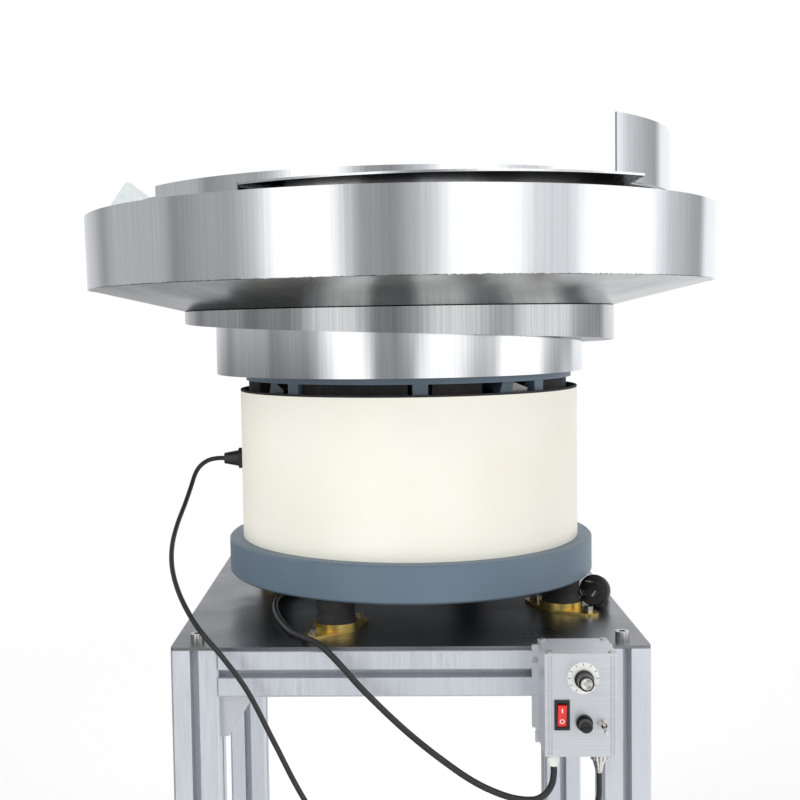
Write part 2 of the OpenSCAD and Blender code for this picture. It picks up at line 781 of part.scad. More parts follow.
// Upper lane on top of the drum, from the back round the right to the front
shelf_x = 38;
shelf_y = -16;
shelf_from_deg = -120;
shelf_to_deg = -38;
rail_end_deg = -144;
shelf_left = -144;
shelf_right = 217;
lane_start_deg = 100;
pie_r = 2 * ring_top_r;
module pie(a0, a1, z, h) {
  mid = (a0 + a1) / 2;
  near = (a0 + mid) / 2;
  far = (a1 + mid) / 2;
  translate([0, 0, z]) linear_extrude(h) polygon([
    [0, 0], [pie_r * cos(a0), pie_r * sin(a0)],
    [pie_r * cos(near), pie_r * sin(near)], [pie_r * cos(mid), pie_r * sin(mid)],
    [pie_r * cos(far), pie_r * sin(far)], [pie_r * cos(a1), pie_r * sin(a1)]]);
}
module upper_lane() color("silver") difference() {
  union() {
    intersection() {
      translate([0, 0, lane_z]) cylinder(r = rail_r, h = lane_t);
      pie(rail_end_deg, lane_start_deg, lane_z - over, lane_t + 2 * over);
    }
    intersection() {
      translate([shelf_x, shelf_y, lane_z]) cylinder(r = shelf_r, h = lane_t);
      pie(rail_end_deg, shelf_to_deg, lane_z - over, lane_t + 2 * over);
      translate([shelf_right - pie_r, -pie_r, lane_z - over])
        cube([pie_r, pie_r, lane_t + 2 * over]);
    }
  }
  translate([0, 0, lane_z - over]) cylinder(r = drum_in, h = lane_t + 2 * over);
  translate([shelf_left - pie_r, -pie_r, lane_z - over])
    cube([pie_r, pie_r, lane_t + 2 * over]);
}

// Low rail on the lane, deeper where it runs on beside the discharge ramp
ramp_end_deg = -180;
rail_deep = 42;
module arc_wall(r, t, a0, a1, z, h) {
  translate([0, 0, z]) rotate([0, 0, a0]) rotate_extrude(angle = a1 - a0)
    translate([r - t, 0]) square([t, h]);
}
deck_lane_z = lane_z + lane_t;
module lane_rail() color("silver") {
  arc_wall(rail_r, lane_t, shelf_from_deg, lane_start_deg, deck_lane_z, rail_h);
  arc_wall(rail_r, lane_t, rail_end_deg, shelf_from_deg, deck_lane_z + rail_h - rail_deep, rail_deep);
  arc_wall(rail_r, lane_t, ramp_end_deg, rail_end_deg, deck_lane_z + rail_h - rail_deep,
    rail_deep - rail_h - lane_t);
}

// Tall guard outside the rail on the right
guard_from_deg = -46.5;
guard_to_deg = -8;
module tall_guard() color("silver")
  arc_wall(rail_r + lane_t, lane_t, guard_from_deg, guard_to_deg, deck_lane_z, guard_h);

// Discharge: a ramp along the drum, then a straight chute out through the ring
ramp_drop = 18;
ramp_rows = 10;
module discharge_chute() color("silver") {
  ribbon([for (k = [0 : ramp_rows])
    let (share = k / ramp_rows, z = lane_z - ramp_drop * share,
      t = start_deg - shelf_from_deg + (shelf_from_deg - ramp_end_deg) * share)
    [t, drum_r + move_gap, rail_r - lane_t - weld_gap, z - lane_t, z]]);
  translate([chute_x, 0, lane_z - ramp_drop - lane_t]) chute_run();
  translate([tab_x, clear_y, tab_low_z]) difference() {
    cube([chute_x - chute_w / 2 - lane_t / 2 - tab_x, tab_t, tab_top_z - tab_low_z]);
    translate([guard_screw_x - tab_x, -over, guard_screw_z - tab_low_z])
      rotate([-90, 0, 0]) cylinder(d = guard_hole_d, h = tab_t + 2 * over);
  }
}
chute_fall = tan(chute_slope);
module chute_side(side) {
  translate([side * (chute_w / 2 + lane_t / 2) - lane_t / 2, 0, 0])
    rotate([90, 0, 90]) linear_extrude(lane_t) polygon([
      [0, 0], [chute_len, -chute_len * chute_fall],
      [chute_len, chute_wall_h - chute_len * chute_fall], [0, chute_wall_h]]);
}
module chute_run() {
  rotate([90, 0, 90]) translate([0, 0, -chute_w / 2]) linear_extrude(chute_w)
    polygon([
      [-over, 0], [0, 0], [chute_len, -chute_len * chute_fall],
      [chute_len, lane_t - chute_len * chute_fall], [0, lane_t], [-over, lane_t]]);
  chute_side(-1);
  chute_side(1);
}

// Clear guard plate beside the chute, on a small steel tab
clear_y = 60;
clear_w = 47;
clear_h = 65.5;
clear_edge = 14.6;
clear_drop = 24;
clear_x = chute_x - clear_edge;
clear_z = lane_z - clear_drop;
clear_shares = [[-0.915, 0], [-1, 0.626], [-0.638, 0.985], [-0.553, 1], [-0.5, 0.985],
  [0, 0.71], [-0.043, 0.351], [-0.191, 0.336], [-0.191, 0]];
tab_t = 2;
tab_w = 34;
tab_drop = 17;
tab_h = 33;
tab_x = clear_x - tab_w;
tab_low_z = lane_z - tab_drop;
tab_top_z = tab_low_z + tab_h;
guard_hole_d = 4.3;
guard_screw_in = 6;
guard_screw_drop = 3;
guard_screw_x = tab_x + guard_screw_in;
guard_screw_z = tab_top_z - guard_screw_drop;
module clear_guard() color("lightcyan", 0.4) difference() {
  translate([0, clear_y, 0]) rotate([90, 0, 0]) linear_extrude(clear_t)
    polygon([for (p = clear_shares) [clear_x + clear_w * p[0], clear_z + clear_h * p[1]]]);
  translate([guard_screw_x, clear_y + over, guard_screw_z]) rotate([90, 0, 0])
    cylinder(d = guard_hole_d, h = clear_t + 2 * over);
}
module guard_screw() translate([guard_screw_x, clear_y - clear_t, guard_screw_z])
  rotate([90, 0, 0]) {
    cylinder(d = 2 * guard_hole_d, h = guard_hole_d / 2);
    translate([0, 0, -clear_t - tab_t])
      cylinder(d = guard_hole_d - 4 * fit_gap, h = clear_t + tab_t + fit_gap);
  }

// Cord gland: thread with its nut inside a wall, hex flange and dome outside
gland_hex_h = 5;
gland_nut_h = 4;
dome_share = 0.6;
module gland(thread_r, wall, af, dome_len) {
  translate([0, 0, -wall - gland_nut_h - over])
    cylinder(r = thread_r, h = wall + gland_nut_h + over);
  translate([0, 0, -wall - gland_nut_h]) cylinder(d = hex_d(af), h = gland_nut_h, $fn = 6);
  cylinder(d = hex_d(af), h = gland_hex_h, $fn = 6);
  translate([0, 0, gland_hex_h])
    cylinder(r1 = af / 2 - over, r2 = af / 2 * dome_share, h = dome_len);
}
gland_thread_r = 8;
gland_af = 20;
gland_dome = 16;
cover_left = drive_x - cover_r;
module drive_gland() color("black") translate([cover_left, 0, gland_z])
  rotate([0, -90, 0]) gland(gland_thread_r, cover_t + fit_gap * 10, gland_af, gland_dome);

// The control box hangs on the front rail by its mounting plate
holder_y = -table_side / 2;
box_back_y = holder_y - holder_t;
box_front_y = box_back_y - box_d;
box_z = table_z - box_drop;
box_end_t = 2;
box_top_z = box_z + box_h;
box_mid_x = box_x + box_w / 2;
box_mid_y = box_back_y - box_d / 2;
corner_boss_r = 3.4;
corner_bore_r = 1.3;
corner_in = 4.4;
groove_w = 1.2;
groove_deep = 0.7;
groove_in = 3.2;
groove_gap = 2.6;
// Places of the fittings on the front
dial_in = 34;
dial_up = 71;
rocker_in = 15;
rocker_up = 38;
fuse_in = 34.5;
fuse_up = 31;
toggle_in = 51;
toggle_up = 30;
dial_x = box_x + dial_in;
dial_z = box_z + dial_up;
rocker_x = box_x + rocker_in;
rocker_z = box_z + rocker_up;
fuse_x = box_x + fuse_in;
fuse_z = box_z + fuse_up;
toggle_x = box_x + toggle_in;
toggle_z = box_z + toggle_up;
pot_hole_r = 3.6;
fuse_hole_r = 6.1;
toggle_hole_r = 3.2;
rocker_cut_in = 1.2;
module at_box_corners() {
  for (sx = [-1, 1], sy = [-1, 1])
    translate([box_mid_x + sx * (box_w / 2 - corner_in),
      box_mid_y + sy * (box_d / 2 - corner_in), 0]) children();
}
module front_hole(x, z, r) {
  translate([x, box_front_y - over, z]) rotate([-90, 0, 0])
    cylinder(r = r, h = box_wall + 2 * over);
}
module box_shell() color("gainsboro") difference() {
  shell_z = box_z + box_end_t;
  shell_h = box_h - 2 * box_end_t;
  union() {
    difference() {
      translate([box_x, box_front_y, shell_z]) cube([box_w, box_d, shell_h]);
      translate([box_x + box_wall, box_front_y + box_wall, shell_z - over])
        cube([box_w - 2 * box_wall, box_d - 2 * box_wall, shell_h + 2 * over]);
    }
    at_box_corners() translate([0, 0, shell_z]) cylinder(r = corner_boss_r, h = shell_h);
  }
  at_box_corners() translate([0, 0, shell_z - over])
    cylinder(r = corner_bore_r, h = shell_h + 2 * over);
  for (k = [0, 1], side = [-1, 1])
    translate([box_mid_x + side * (box_w / 2 - groove_in - k * groove_gap) - groove_w / 2,
      box_front_y - over, shell_z - over])
      cube([groove_w, over + groove_deep, shell_h + 2 * over]);
  front_hole(dial_x, dial_z, pot_hole_r);
  front_hole(fuse_x, fuse_z, fuse_hole_r);
  front_hole(toggle_x, toggle_z, toggle_hole_r);
  translate([rocker_x - rocker_w / 2 + rocker_cut_in, box_front_y - over,
    rocker_z - rocker_h / 2 + rocker_cut_in])
    cube([rocker_w - 2 * rocker_cut_in, box_wall + 2 * over, rocker_h - 2 * rocker_cut_in]);
}
// End plates with the holes of the gland and the cord socket in the lower one
gland_in = 11;
socket_in = 52;
gland_x = box_x + gland_in;
socket_x = box_x + socket_in;
white_thread_r = 6;
socket_thread_r = socket_d / 2 - over;
end_hole_r = 1.7;
module box_ends() color("silver") difference() {
  for (z = [box_z, box_top_z - box_end_t])
    translate([box_x, box_front_y, z]) cube([box_w, box_d, box_end_t]);
  at_box_corners() translate([0, 0, box_z - over])
    cylinder(r = end_hole_r, h = box_h + 2 * over);
  translate([gland_x, box_mid_y, box_z - over])
    cylinder(r = white_thread_r + fit_gap, h = box_end_t + 2 * over);
  translate([socket_x, box_mid_y, box_z - over])
    cylinder(r = socket_thread_r + fit_gap, h = box_end_t + 2 * over);
}
box_screw_head_r = 2.6;
box_screw_head_h = 1.5;
box_screw_len = 9;
module box_screw() {
  difference() {
    cylinder(r = box_screw_head_r, h = box_screw_head_h);
    for (turn = [0, 90]) rotate([0, 0, turn])
      translate([-box_screw_head_r / 2, -box_screw_head_h / 6, box_screw_head_h / 2])
        cube([box_screw_head_r, box_screw_head_h / 3, box_screw_head_h]);
  }
  translate([0, 0, -box_screw_len])
    cylinder(r = corner_bore_r - fit_gap, h = box_screw_len + fit_gap);
}
holder_screw_bite = 8;
module box_screws() color("lightgray") {
  at_box_corners() {
    translate([0, 0, box_top_z]) box_screw();
    translate([0, 0, box_z]) rotate([180, 0, 0]) box_screw();
  }
  at_holder_screws(holder_screw_z) translate([0, -holder_t, 0]) rotate([90, 0, 0]) {
    cylinder(r = holder_screw_in - fit_gap * 4, h = holder_hole_r);
    translate([0, 0, -holder_t - holder_screw_bite])
      cylinder(r = holder_hole_r - fit_gap, h = holder_t + holder_screw_bite + fit_gap);
  }
}
// Mounting plate behind the box, with its lower left corner stepped back
holder_side = 5;
holder_drop = 5;
holder_rise = 2;
holder_step = 3;
holder_step_h = 14;
holder_screw_in = 2.6;
holder_screw_drop = 12;
holder_hole_drop = 79;
holder_screw_z = table_z - holder_screw_drop;
holder_hole_z = table_z - holder_hole_drop;
holder_hole_r = 1.6;
holder_low_z = box_z - holder_drop;
module at_holder_screws(z) {
  for (x = [box_x - holder_screw_in, box_x + box_w + holder_screw_in])
    translate([x, holder_y, z]) children();
}
module box_holder() color("silver") difference() {
  translate([box_x - holder_side, box_back_y, holder_low_z])
    cube([box_w + 2 * holder_side, holder_t, table_z + holder_rise - holder_low_z]);
  translate([box_x - holder_side - over, box_back_y - over, holder_low_z - over])
    cube([holder_step + over, holder_t + 2 * over, holder_step_h + over]);
  for (z = [holder_screw_z, holder_hole_z]) at_holder_screws(z)
    translate([0, over, 0]) rotate([90, 0, 0])
      cylinder(r = holder_hole_r, h = holder_t + 2 * over);
}
// Speed control: dial plate, turning part behind the front, knob and cap
dial_t = 0.6;
pot_body_r = 8;
pot_body_len = 10;
shaft_r = 3;
pot_nut_af = 9;
pot_nut_h = 2;
knob_gap = 0.5;
knob_skirt = 2.2;
knob_cap_r = 5.2;
knob_cap_t = 1.2;
knob_y = box_front_y - dial_t - pot_nut_h - knob_gap;
module on_front(x, y, z) {
  translate([x, y, z]) rotate([90, 0, 0]) children();
}
module dial_plate() color("white") on_front(dial_x, box_front_y, dial_z)
  difference() {
    cylinder(r = dial_r, h = dial_t);
    translate([0, 0, -over]) cylinder(r = pot_hole_r, h = dial_t + 2 * over);
  }
module speed_pot() color("gray") {
  on_front(dial_x, box_front_y + box_wall + pot_body_len, dial_z)
    cylinder(r = pot_body_r, h = pot_body_len);
  on_front(dial_x, box_front_y + box_wall + over, dial_z)
    cylinder(r = shaft_r, h = box_wall + over + dial_t + pot_nut_h + knob_gap + knob_h / 2);
  on_front(dial_x, box_front_y - dial_t, dial_z)
    cylinder(d = hex_d(pot_nut_af), h = pot_nut_h, $fn = 6);
}
knob_grip_share = 0.86;
knob_line_w = 1.2;
module speed_knob() color("black") on_front(dial_x, knob_y, dial_z) difference() {
  rotate_extrude() polygon([
    [0, 0], [knob_d / 2, 0], [knob_d / 2, knob_skirt],
    [knob_d / 2 * knob_grip_share, knob_skirt + over],
    [knob_d / 2 * knob_grip_share - over / 2, knob_h - over],
    [knob_d / 2 * knob_grip_share - 3 / 2 * over, knob_h], [0, knob_h]]);
  translate([0, 0, -over]) cylinder(r = shaft_r + fit_gap, h = knob_h / 2 + 2 * over);
  translate([0, 0, knob_h - knob_cap_t]) cylinder(r = knob_cap_r + fit_gap, h = 2 * over + knob_cap_t);
  translate([-knob_line_w / 2, knob_cap_r + over, knob_h - over / 2])
    cube([knob_line_w, knob_d, 2 * over]);
}
cap_dish = 0.4;
module knob_cap() color("silver") on_front(dial_x, knob_y - knob_h + knob_cap_t, dial_z)
  difference() {
    cylinder(r = knob_cap_r, h = knob_cap_t);
    translate([0, 0, knob_cap_t - cap_dish])
      cylinder(r1 = knob_cap_r / 2, r2 = knob_cap_r * knob_grip_share, h = cap_dish + fit_gap);
    translate([-knob_line_w / 2, knob_cap_r / 2, knob_cap_t - cap_dish])
      cube([knob_line_w, knob_cap_r, over]);
  }
// Rocker switch: frame through the front, and the tilting rocker in it
rocker_rim = 1.6;
rocker_tub = 12;
rocker_wall = 1.4;
rocker_pin_r = 1.2;
rocker_play = 0.3;
rocker_tilt = 9;
rocker_face = 4;
rocker_deep = 4;
rocker_in_w = rocker_w - 2 * rocker_cut_in - 2 * rocker_wall;
rocker_in_h = rocker_h - 2 * rocker_cut_in - 2 * rocker_wall;
pivot_y = box_front_y + rocker_deep / 2;
module rocker_frame() color("black") difference() {
  union() {
    translate([rocker_x - rocker_w / 2, box_front_y - rocker_rim, rocker_z - rocker_h / 2])
      cube([rocker_w, rocker_rim, rocker_h]);
    translate([rocker_x - rocker_w / 2 + rocker_cut_in + fit_gap, box_front_y - over,
      rocker_z - rocker_h / 2 + rocker_cut_in + fit_gap])
      cube([rocker_w - 2 * rocker_cut_in - 2 * fit_gap, rocker_tub + over,
        rocker_h - 2 * rocker_cut_in - 2 * fit_gap]);
  }
  translate([rocker_x - rocker_in_w / 2, box_front_y - rocker_rim - over,
    rocker_z - rocker_in_h / 2])
    cube([rocker_in_w, rocker_tub + rocker_rim, rocker_in_h]);
  translate([rocker_x, pivot_y, rocker_z]) rotate([0, 90, 0])
    cylinder(r = rocker_pin_r + fit_gap, h = rocker_in_w + rocker_wall, center = true);
}
module rocker() color("red") translate([rocker_x, pivot_y, rocker_z])
  rotate([rocker_tilt, 0, 0]) {
    half = rocker_in_h / 2 - rocker_play - over / 2;
    translate([-rocker_in_w / 2 + rocker_play, 0, 0]) rotate([90, 0, 90])
      linear_extrude(rocker_in_w - 2 * rocker_play) polygon([
        [rocker_deep / 2, -half + over], [rocker_deep / 2, half - over],
        [-rocker_deep / 2 - rocker_face / 2, half], [-rocker_face, 0],
        [-rocker_deep / 2 - rocker_face / 2, -half]]);
    rotate([0, 90, 0])
      cylinder(r = rocker_pin_r, h = rocker_in_w + rocker_wall - 2 * fit_gap, center = true);
  }
// Fuse holder with its pull-out cap
fuse_rim_r = 7.4;
fuse_rim_t = 2.5;
fuse_tube_len = 26;
fuse_bore_r = 3.6;
fuse_cap_r = 5.6;
fuse_cap_len = 11;
fuse_stem_len = 20;
module fuse_holder() color("black") difference() {
  union() {
    on_front(fuse_x, box_front_y, fuse_z) cylinder(r = fuse_rim_r, h = fuse_rim_t);
    on_front(fuse_x, box_front_y + fuse_tube_len, fuse_z)
      cylinder(r = fuse_hole_r - fit_gap, h = fuse_tube_len + fit_gap);
  }
  on_front(fuse_x, box_front_y + fuse_tube_len - box_wall, fuse_z)
    cylinder(r = fuse_bore_r, h = fuse_tube_len + fuse_rim_t);
}
module fuse_cap() color("black") on_front(fuse_x, box_front_y - fuse_rim_t, fuse_z) {
  difference() {
    rotate_extrude() polygon([
      [0, 0], [fuse_cap_r, 0], [fuse_cap_r, fuse_cap_len - over],
      [fuse_cap_r - over, fuse_cap_len], [0, fuse_cap_len]]);
    translate([-fuse_cap_r, -knob_line_w / 2, fuse_cap_len - over])
      cube([2 * fuse_cap_r, knob_line_w, 2 * over]);
  }
  translate([0, 0, -fuse_stem_len])
    cylinder(r = fuse_bore_r - fit_gap, h = fuse_stem_len + fit_gap);
}
// Toggle switch: threaded neck with nut, body inside, and the lever
toggle_neck_len = 7;
toggle_bore_r = 2.3;
toggle_nut_af = 8.5;
toggle_nut_h = 2;
toggle_body_w = 8;
toggle_body_h = 13;
toggle_body_len = 10;
toggle_len = 13;
toggle_tilt = 13;
ball_r = 2.2;
module toggle_body() color("silver") difference() {
  union() {
    translate([toggle_x - toggle_body_w / 2, box_front_y + box_wall,
      toggle_z - toggle_body_h / 2]) cube([toggle_body_w, toggle_body_len, toggle_body_h]);
    on_front(toggle_x, box_front_y + box_wall + fit_gap, toggle_z)
      cylinder(r = toggle_hole_r - fit_gap, h = box_wall + toggle_neck_len);
    on_front(toggle_x, box_front_y, toggle_z)
      cylinder(d = hex_d(toggle_nut_af), h = toggle_nut_h, $fn = 6);
  }
  on_front(toggle_x, box_front_y + box_wall, toggle_z) {
    cylinder(r = toggle_bore_r + fit_gap, h = box_wall + toggle_neck_len + over);
    translate([0, 0, box_wall + toggle_neck_len - 2 * over])
      cylinder(r1 = toggle_bore_r, r2 = toggle_hole_r - over / 2, h = 3 * over);
  }
}
toggle_pivot_y = box_front_y - toggle_neck_len + 2 * over;
lever_tip_r = 1.7;
lever_neck_r = 1.1;
module toggle_lever() color("silver") translate([toggle_x, toggle_pivot_y, toggle_z])
  rotate([90 + toggle_tilt, 0, 0]) rotate_extrude() polygon(concat(
    [for (a = [-90 : 15 : 60]) [ball_r * cos(a), ball_r * sin(a)]],
    [[lever_neck_r, ball_r + over], [lever_tip_r, toggle_len - over],
      [lever_tip_r - over / 2, toggle_len], [0, toggle_len]]));
// White cord gland below the box, for the mains cord
white_af = 15;
white_dome = 12;
module mains_gland() color("white") translate([gland_x, box_mid_y, box_z])
  rotate([180, 0, 0]) gland(white_thread_r, box_end_t, white_af, white_dome);
// Round metal socket below the box, the cord plug in it and its coupling ring
socket_flange_t = 1.5;
socket_neck = 7;
socket_in_h = 6;
ring_play = 0.3;
coupling_r = 7.8;
coupling_h = 9;
plug_tail = 11;
tail_r = 5;
module cord_socket() color("silver") translate([socket_x, box_mid_y, box_z])
  rotate([180, 0, 0]) difference() {
    union() {
      cylinder(r = socket_d / 2 + over, h = socket_flange_t);
      translate([0, 0, -box_end_t - socket_in_h])
        cylinder(r = socket_thread_r, h = box_end_t + socket_in_h + socket_neck);
      translate([0, 0, -box_end_t - gland_nut_h / 2])
        cylinder(d = hex_d(socket_d), h = gland_nut_h / 2, $fn = 6);
    }
    translate([0, 0, socket_flange_t])
      cylinder(r = socket_thread_r - over, h = socket_neck);
  }
plug_core_r = socket_thread_r - over - fit_gap;
module cord_plug() color("silver") translate([socket_x, box_mid_y, box_z])
  rotate([180, 0, 0]) {
    translate([0, 0, socket_flange_t]) cylinder(r = plug_core_r, h = coupling_h + over);
    translate([0, 0, socket_flange_t + coupling_h + over])
      cylinder(r = socket_thread_r, h = over);
    translate([0, 0, socket_flange_t + coupling_h + 2 * over])
      cylinder(r1 = socket_thread_r, r2 = tail_r * dome_share, h = plug_tail);
  }
grip_count = 24;
grip_r = 0.5;
module coupling_ring() color("silver") translate([socket_x, box_mid_y, box_z])
  rotate([180, 0, 0]) translate([0, 0, socket_flange_t + over / 2]) difference() {
    cylinder(r = coupling_r, h = coupling_h);
    translate([0, 0, -over])
      cylinder(r = socket_thread_r + ring_play, h = socket_neck + over);
    cylinder(r = plug_core_r + ring_play, h = coupling_h + over);
    for (i = [0 : grip_count - 1]) rotate([0, 0, turn_deg / grip_count * i])
      translate([coupling_r, 0, over]) cylinder(r = grip_r, h = coupling_h, $fn = 8);
  }

// The mains plug lies on the table beside the right front foot
plug_azimuth_deg = 60;
plug_dip_deg = 14.8;
plug_dir = [cos(plug_dip_deg) * cos(plug_azimuth_deg),
  cos(plug_dip_deg) * sin(plug_azimuth_deg), -sin(plug_dip_deg)];
plug_neck_r = 6.5;
plug_face_edge = 1.5;
plug_waist_share = 0.55;
pin_w = 6.3;
pin_t = 1.6;
pin_len = 18;
pin_circle = 8;
pin_splay = 120;
// Places are measured from the middle of the bowl, heights from the table top
plug_spot = [202, -73];
plug_pos = [plug_spot[0], plug_spot[1], plug_len / 4 * sin(plug_dip_deg)
  + (plug_d / 2 - over / 2) * cos(plug_dip_deg) + fit_gap];
module at_plug() {
  translate([0, 0, table_z]) translate(plug_pos)
    rotate([0, 90 + plug_dip_deg, plug_azimuth_deg]) children();
}
module mains_plug() color("black") at_plug() rotate_extrude() polygon([
  [0, 0], [plug_d / 2 - plug_face_edge, 0], [plug_d / 2, plug_face_edge],
  [plug_d / 2 - over / 2, plug_len / 4], [plug_d / 2 * plug_waist_share, plug_len * 3 / 4],
  [plug_neck_r, plug_len - plug_face_edge], [plug_neck_r - over, plug_len], [0, plug_len]]);
module plug_pins() color("silver") at_plug() for (i = [-1 : 1])
  rotate([0, 0, pin_splay * i + 180]) translate([pin_circle, 0, -pin_len]) rotate([0, 0, 90])
    translate([-pin_w / 2, -pin_t / 2, 0]) cube([pin_w, pin_t, pin_len]);

// Routes of the two cords, with heights from the table top
gland_tip_x = cover_left - gland_hex_h - gland_dome;
gland_tip_z = gland_z - table_z;
tail_z = box_z - table_z - socket_flange_t - coupling_h - 2 * over - plug_tail;
white_tip_z = box_z - table_z - gland_hex_h - white_dome;
lead = 8;
drive_route = [
  [gland_tip_x, 0, gland_tip_z], [gland_tip_x - lead, 0, gland_tip_z],
  [-214, -1, 152], [-222.5, -4.5, 146.5], [-228, -10, 138], [-231.5, -23, 124],
  [-234.5, -44, 109.5], [-238, -76, 92], [-238, -108, 76], [-233, -140, 61],
  [-223, -171, 46], [-209, -200, 31], [-191, -226, 15], [-169, -239, -6],
  [-146, -243, -37], [-122, -246, -84], [-96, -250, -134], [-60, -253, -189],
  [-6, -255, -228], [56, -256, -240], [112, -256, -220], [150, -256, -184],
  [168, -255, -150], [socket_x - over / 2, box_mid_y, tail_z - 3 * lead],
  [socket_x, box_mid_y, tail_z - lead], [socket_x, box_mid_y, tail_z]];
mains_route = [
  [gland_x, box_mid_y, white_tip_z], [gland_x, box_mid_y, white_tip_z - lead],
  [132, -255, -120], [125.5, -256, -129], [114, -257, -133.5], [92, -257, -130.5],
  [63, -256, -118], [32, -254, -97], [-2, -250, -70], [-38, -245, -36],
  [-58, -241, -14.5], [-71, -235, -2.5], [-82, -226, 3.9], [-94, -210, 4.6],
  [-111, -178, 3.4],
  [-128, -120, 3.2], [-136, -60, 3.2], [-128, -14, 3.2], [-98, 16, 3.2],
  [-40, 29, 3.2], [20, 30, 3.2], [80, 25, 3.2], [130, 14, 3.2], [167, 5, 3.2],
  [194, -1.5, 3.2], [211, -8, 3.2], [221, -20, 3.6], [223.5, -33, 5.6],
  plug_pos + plug_dir * plug_len];
// Smooth line through the points of a route
function along(p, i) = p[max(0, min(len(p) - 1, i))];
function between(p, i, s) = let (a = along(p, i - 1), b = along(p, i),
  c = along(p, i + 1), d = along(p, i + 2))
  0.5 * (2 * b + (c - a) * s + (2 * a - 5 * b + 4 * c - d) * s * s
    + (3 * b - a - 3 * c + d) * s * s * s);
function smooth(p) = concat(
  [for (i = [0 : len(p) - 2], s = [0, 0.5]) between(p, i, s)], [p[len(p) - 1]]);
function unit(v) = v / norm(v);
function heading(p, i) = unit(along(p, i + 1) - along(p, i - 1));
function square_to(v, t) = unit(v - (v * t) * t);
cord_sides = 10;
// Tube along a route: each ring is turned as little as possible from the last
module tube(route, d, first, last) {
  line = smooth(route);
  n = len(line);
  way = [for (i = [0 : n - 1]) i == 0 ? first : i == n - 1 ? last : heading(line, i)];
  turns = [for (i = 0, v = square_to([0.3, 0.5, 0.8], way[0]); i < n;
    i = i + 1, v = square_to(v, way[min(i, n - 1)])) v];
  points = [for (i = [0 : n - 1])
    let (t = way[i], u = turns[i], w = cross(t, u))
    for (k = [0 : cord_sides - 1])
      let (a = turn_deg / cord_sides * k)
      line[i] + (u * cos(a) + w * sin(a)) * d / 2];
  faces = concat(
    [[for (k = [0 : cord_sides - 1]) k]],
    [[for (k = [cord_sides - 1 : -1 : 0]) cord_sides * (n - 1) + k]],
    [for (i = [0 : n - 2], k = [0 : cord_sides - 1])
      let (a = cord_sides * i + k, b = cord_sides * i + (k + 1) % cord_sides)
      for (tri = [[a, a + cord_sides, b + cord_sides], [a, b + cord_sides, b]]) tri]);
  translate([0, 0, table_z]) polyhedron(points = points, faces = faces);
}
module drive_cord() color("black") tube(drive_route, drive_cord_d, [-1, 0, 0], [0, 0, 1]);
module mains_cord() color("black") tube(mains_route, mains_cord_d, [0, 0, -1], -plug_dir);

posts();
rails();
brackets();
bracket_screws();
levelling_pads();
levelling_studs();
table_plate();
plate_bolts();
foot_flanges();
flange_bolts();
rubber_feet();
base_disc();
drive_cover();
cover_seal();
magnet_core();
magnet_coil();
armature();
lower_clamps();
leaf_springs();
upper_bolts();
lower_bolts();
drive_casting();
pocket_pads();
bowl_base();
bowl_floor();
bowl_bolts();
bowl_skirt();
step_band();
spiral_track();
tray_cone();
outer_ring();
bowl_drum();
upper_lane();
lane_rail();
tall_guard();
discharge_chute();
clear_guard();
drive_gland();
box_shell();
box_ends();
box_screws();
box_holder();
dial_plate();
speed_pot();
speed_knob();
knob_cap();
rocker_frame();
rocker();
fuse_holder();
fuse_cap();
toggle_body();
toggle_lever();
mains_gland();
cord_socket();
cord_plug();
coupling_ring();
drive_cord();
mains_cord();
mains_plug();
plug_pins();
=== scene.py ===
import math

import bpy
from mathutils import Matrix, Vector


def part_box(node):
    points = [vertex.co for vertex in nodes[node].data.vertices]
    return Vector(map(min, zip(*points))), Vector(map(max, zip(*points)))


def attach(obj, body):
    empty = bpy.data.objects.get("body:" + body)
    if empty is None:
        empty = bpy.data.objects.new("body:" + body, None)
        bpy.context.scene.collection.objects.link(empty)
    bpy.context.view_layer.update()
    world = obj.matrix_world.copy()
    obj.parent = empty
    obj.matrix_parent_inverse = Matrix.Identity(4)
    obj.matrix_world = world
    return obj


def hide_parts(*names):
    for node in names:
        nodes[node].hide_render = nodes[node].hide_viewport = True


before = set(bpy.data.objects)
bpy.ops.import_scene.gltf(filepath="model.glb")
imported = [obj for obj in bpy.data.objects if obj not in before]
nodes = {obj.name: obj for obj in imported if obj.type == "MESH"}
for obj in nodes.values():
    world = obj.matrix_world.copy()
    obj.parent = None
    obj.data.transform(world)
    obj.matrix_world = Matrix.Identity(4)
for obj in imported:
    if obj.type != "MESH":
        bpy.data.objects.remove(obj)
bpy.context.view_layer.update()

scene = bpy.context.scene


def hexColor(text):
    # sRGB hex to the linear values that the shader wants
    parts = [int(text[i:i + 2], 16) / 255 for i in (1, 3, 5)]
    linear = [c / 12.92 if c <= 0.04045 else ((c + 0.055) / 1.055) ** 2.4 for c in parts]
    return (*linear, 1.0)


def addNode(tree, kind, values=None, links=None, **settings):
    node = tree.nodes.new(kind)
    for name, value in settings.items():
        setattr(node, name, value)
    for socket, value in (values or {}).items():
        node.inputs[socket].default_value = value
    for socket, source in (links or {}).items():
        tree.links.new(source, node.inputs[socket])
    return node


def newMaterial(name, **shader):
    material = bpy.data.materials.new(name)
    material.use_nodes = True
    tree = material.node_tree
    principled = tree.nodes["Principled BSDF"]
    for socket, value in shader.items():
        principled.inputs[socket.replace("_", " ")].default_value = value
    return material, tree, principled


def calc(tree, operation, *terms):
    node = addNode(tree, "ShaderNodeMath", operation=operation)
    for socket, term in zip(node.inputs, terms):
        if isinstance(term, (int, float)):
            socket.default_value = term
        else:
            tree.links.new(term, socket)
    return node.outputs[0]


def within(tree, value, target, reach):
    # 1 where value is no further than reach from target
    return calc(tree, "COMPARE", value, target, reach)


def distance(tree, across, upward):
    squares = [calc(tree, "MULTIPLY", side, side) for side in (across, upward)]
    return calc(tree, "SQRT", calc(tree, "ADD", *squares))


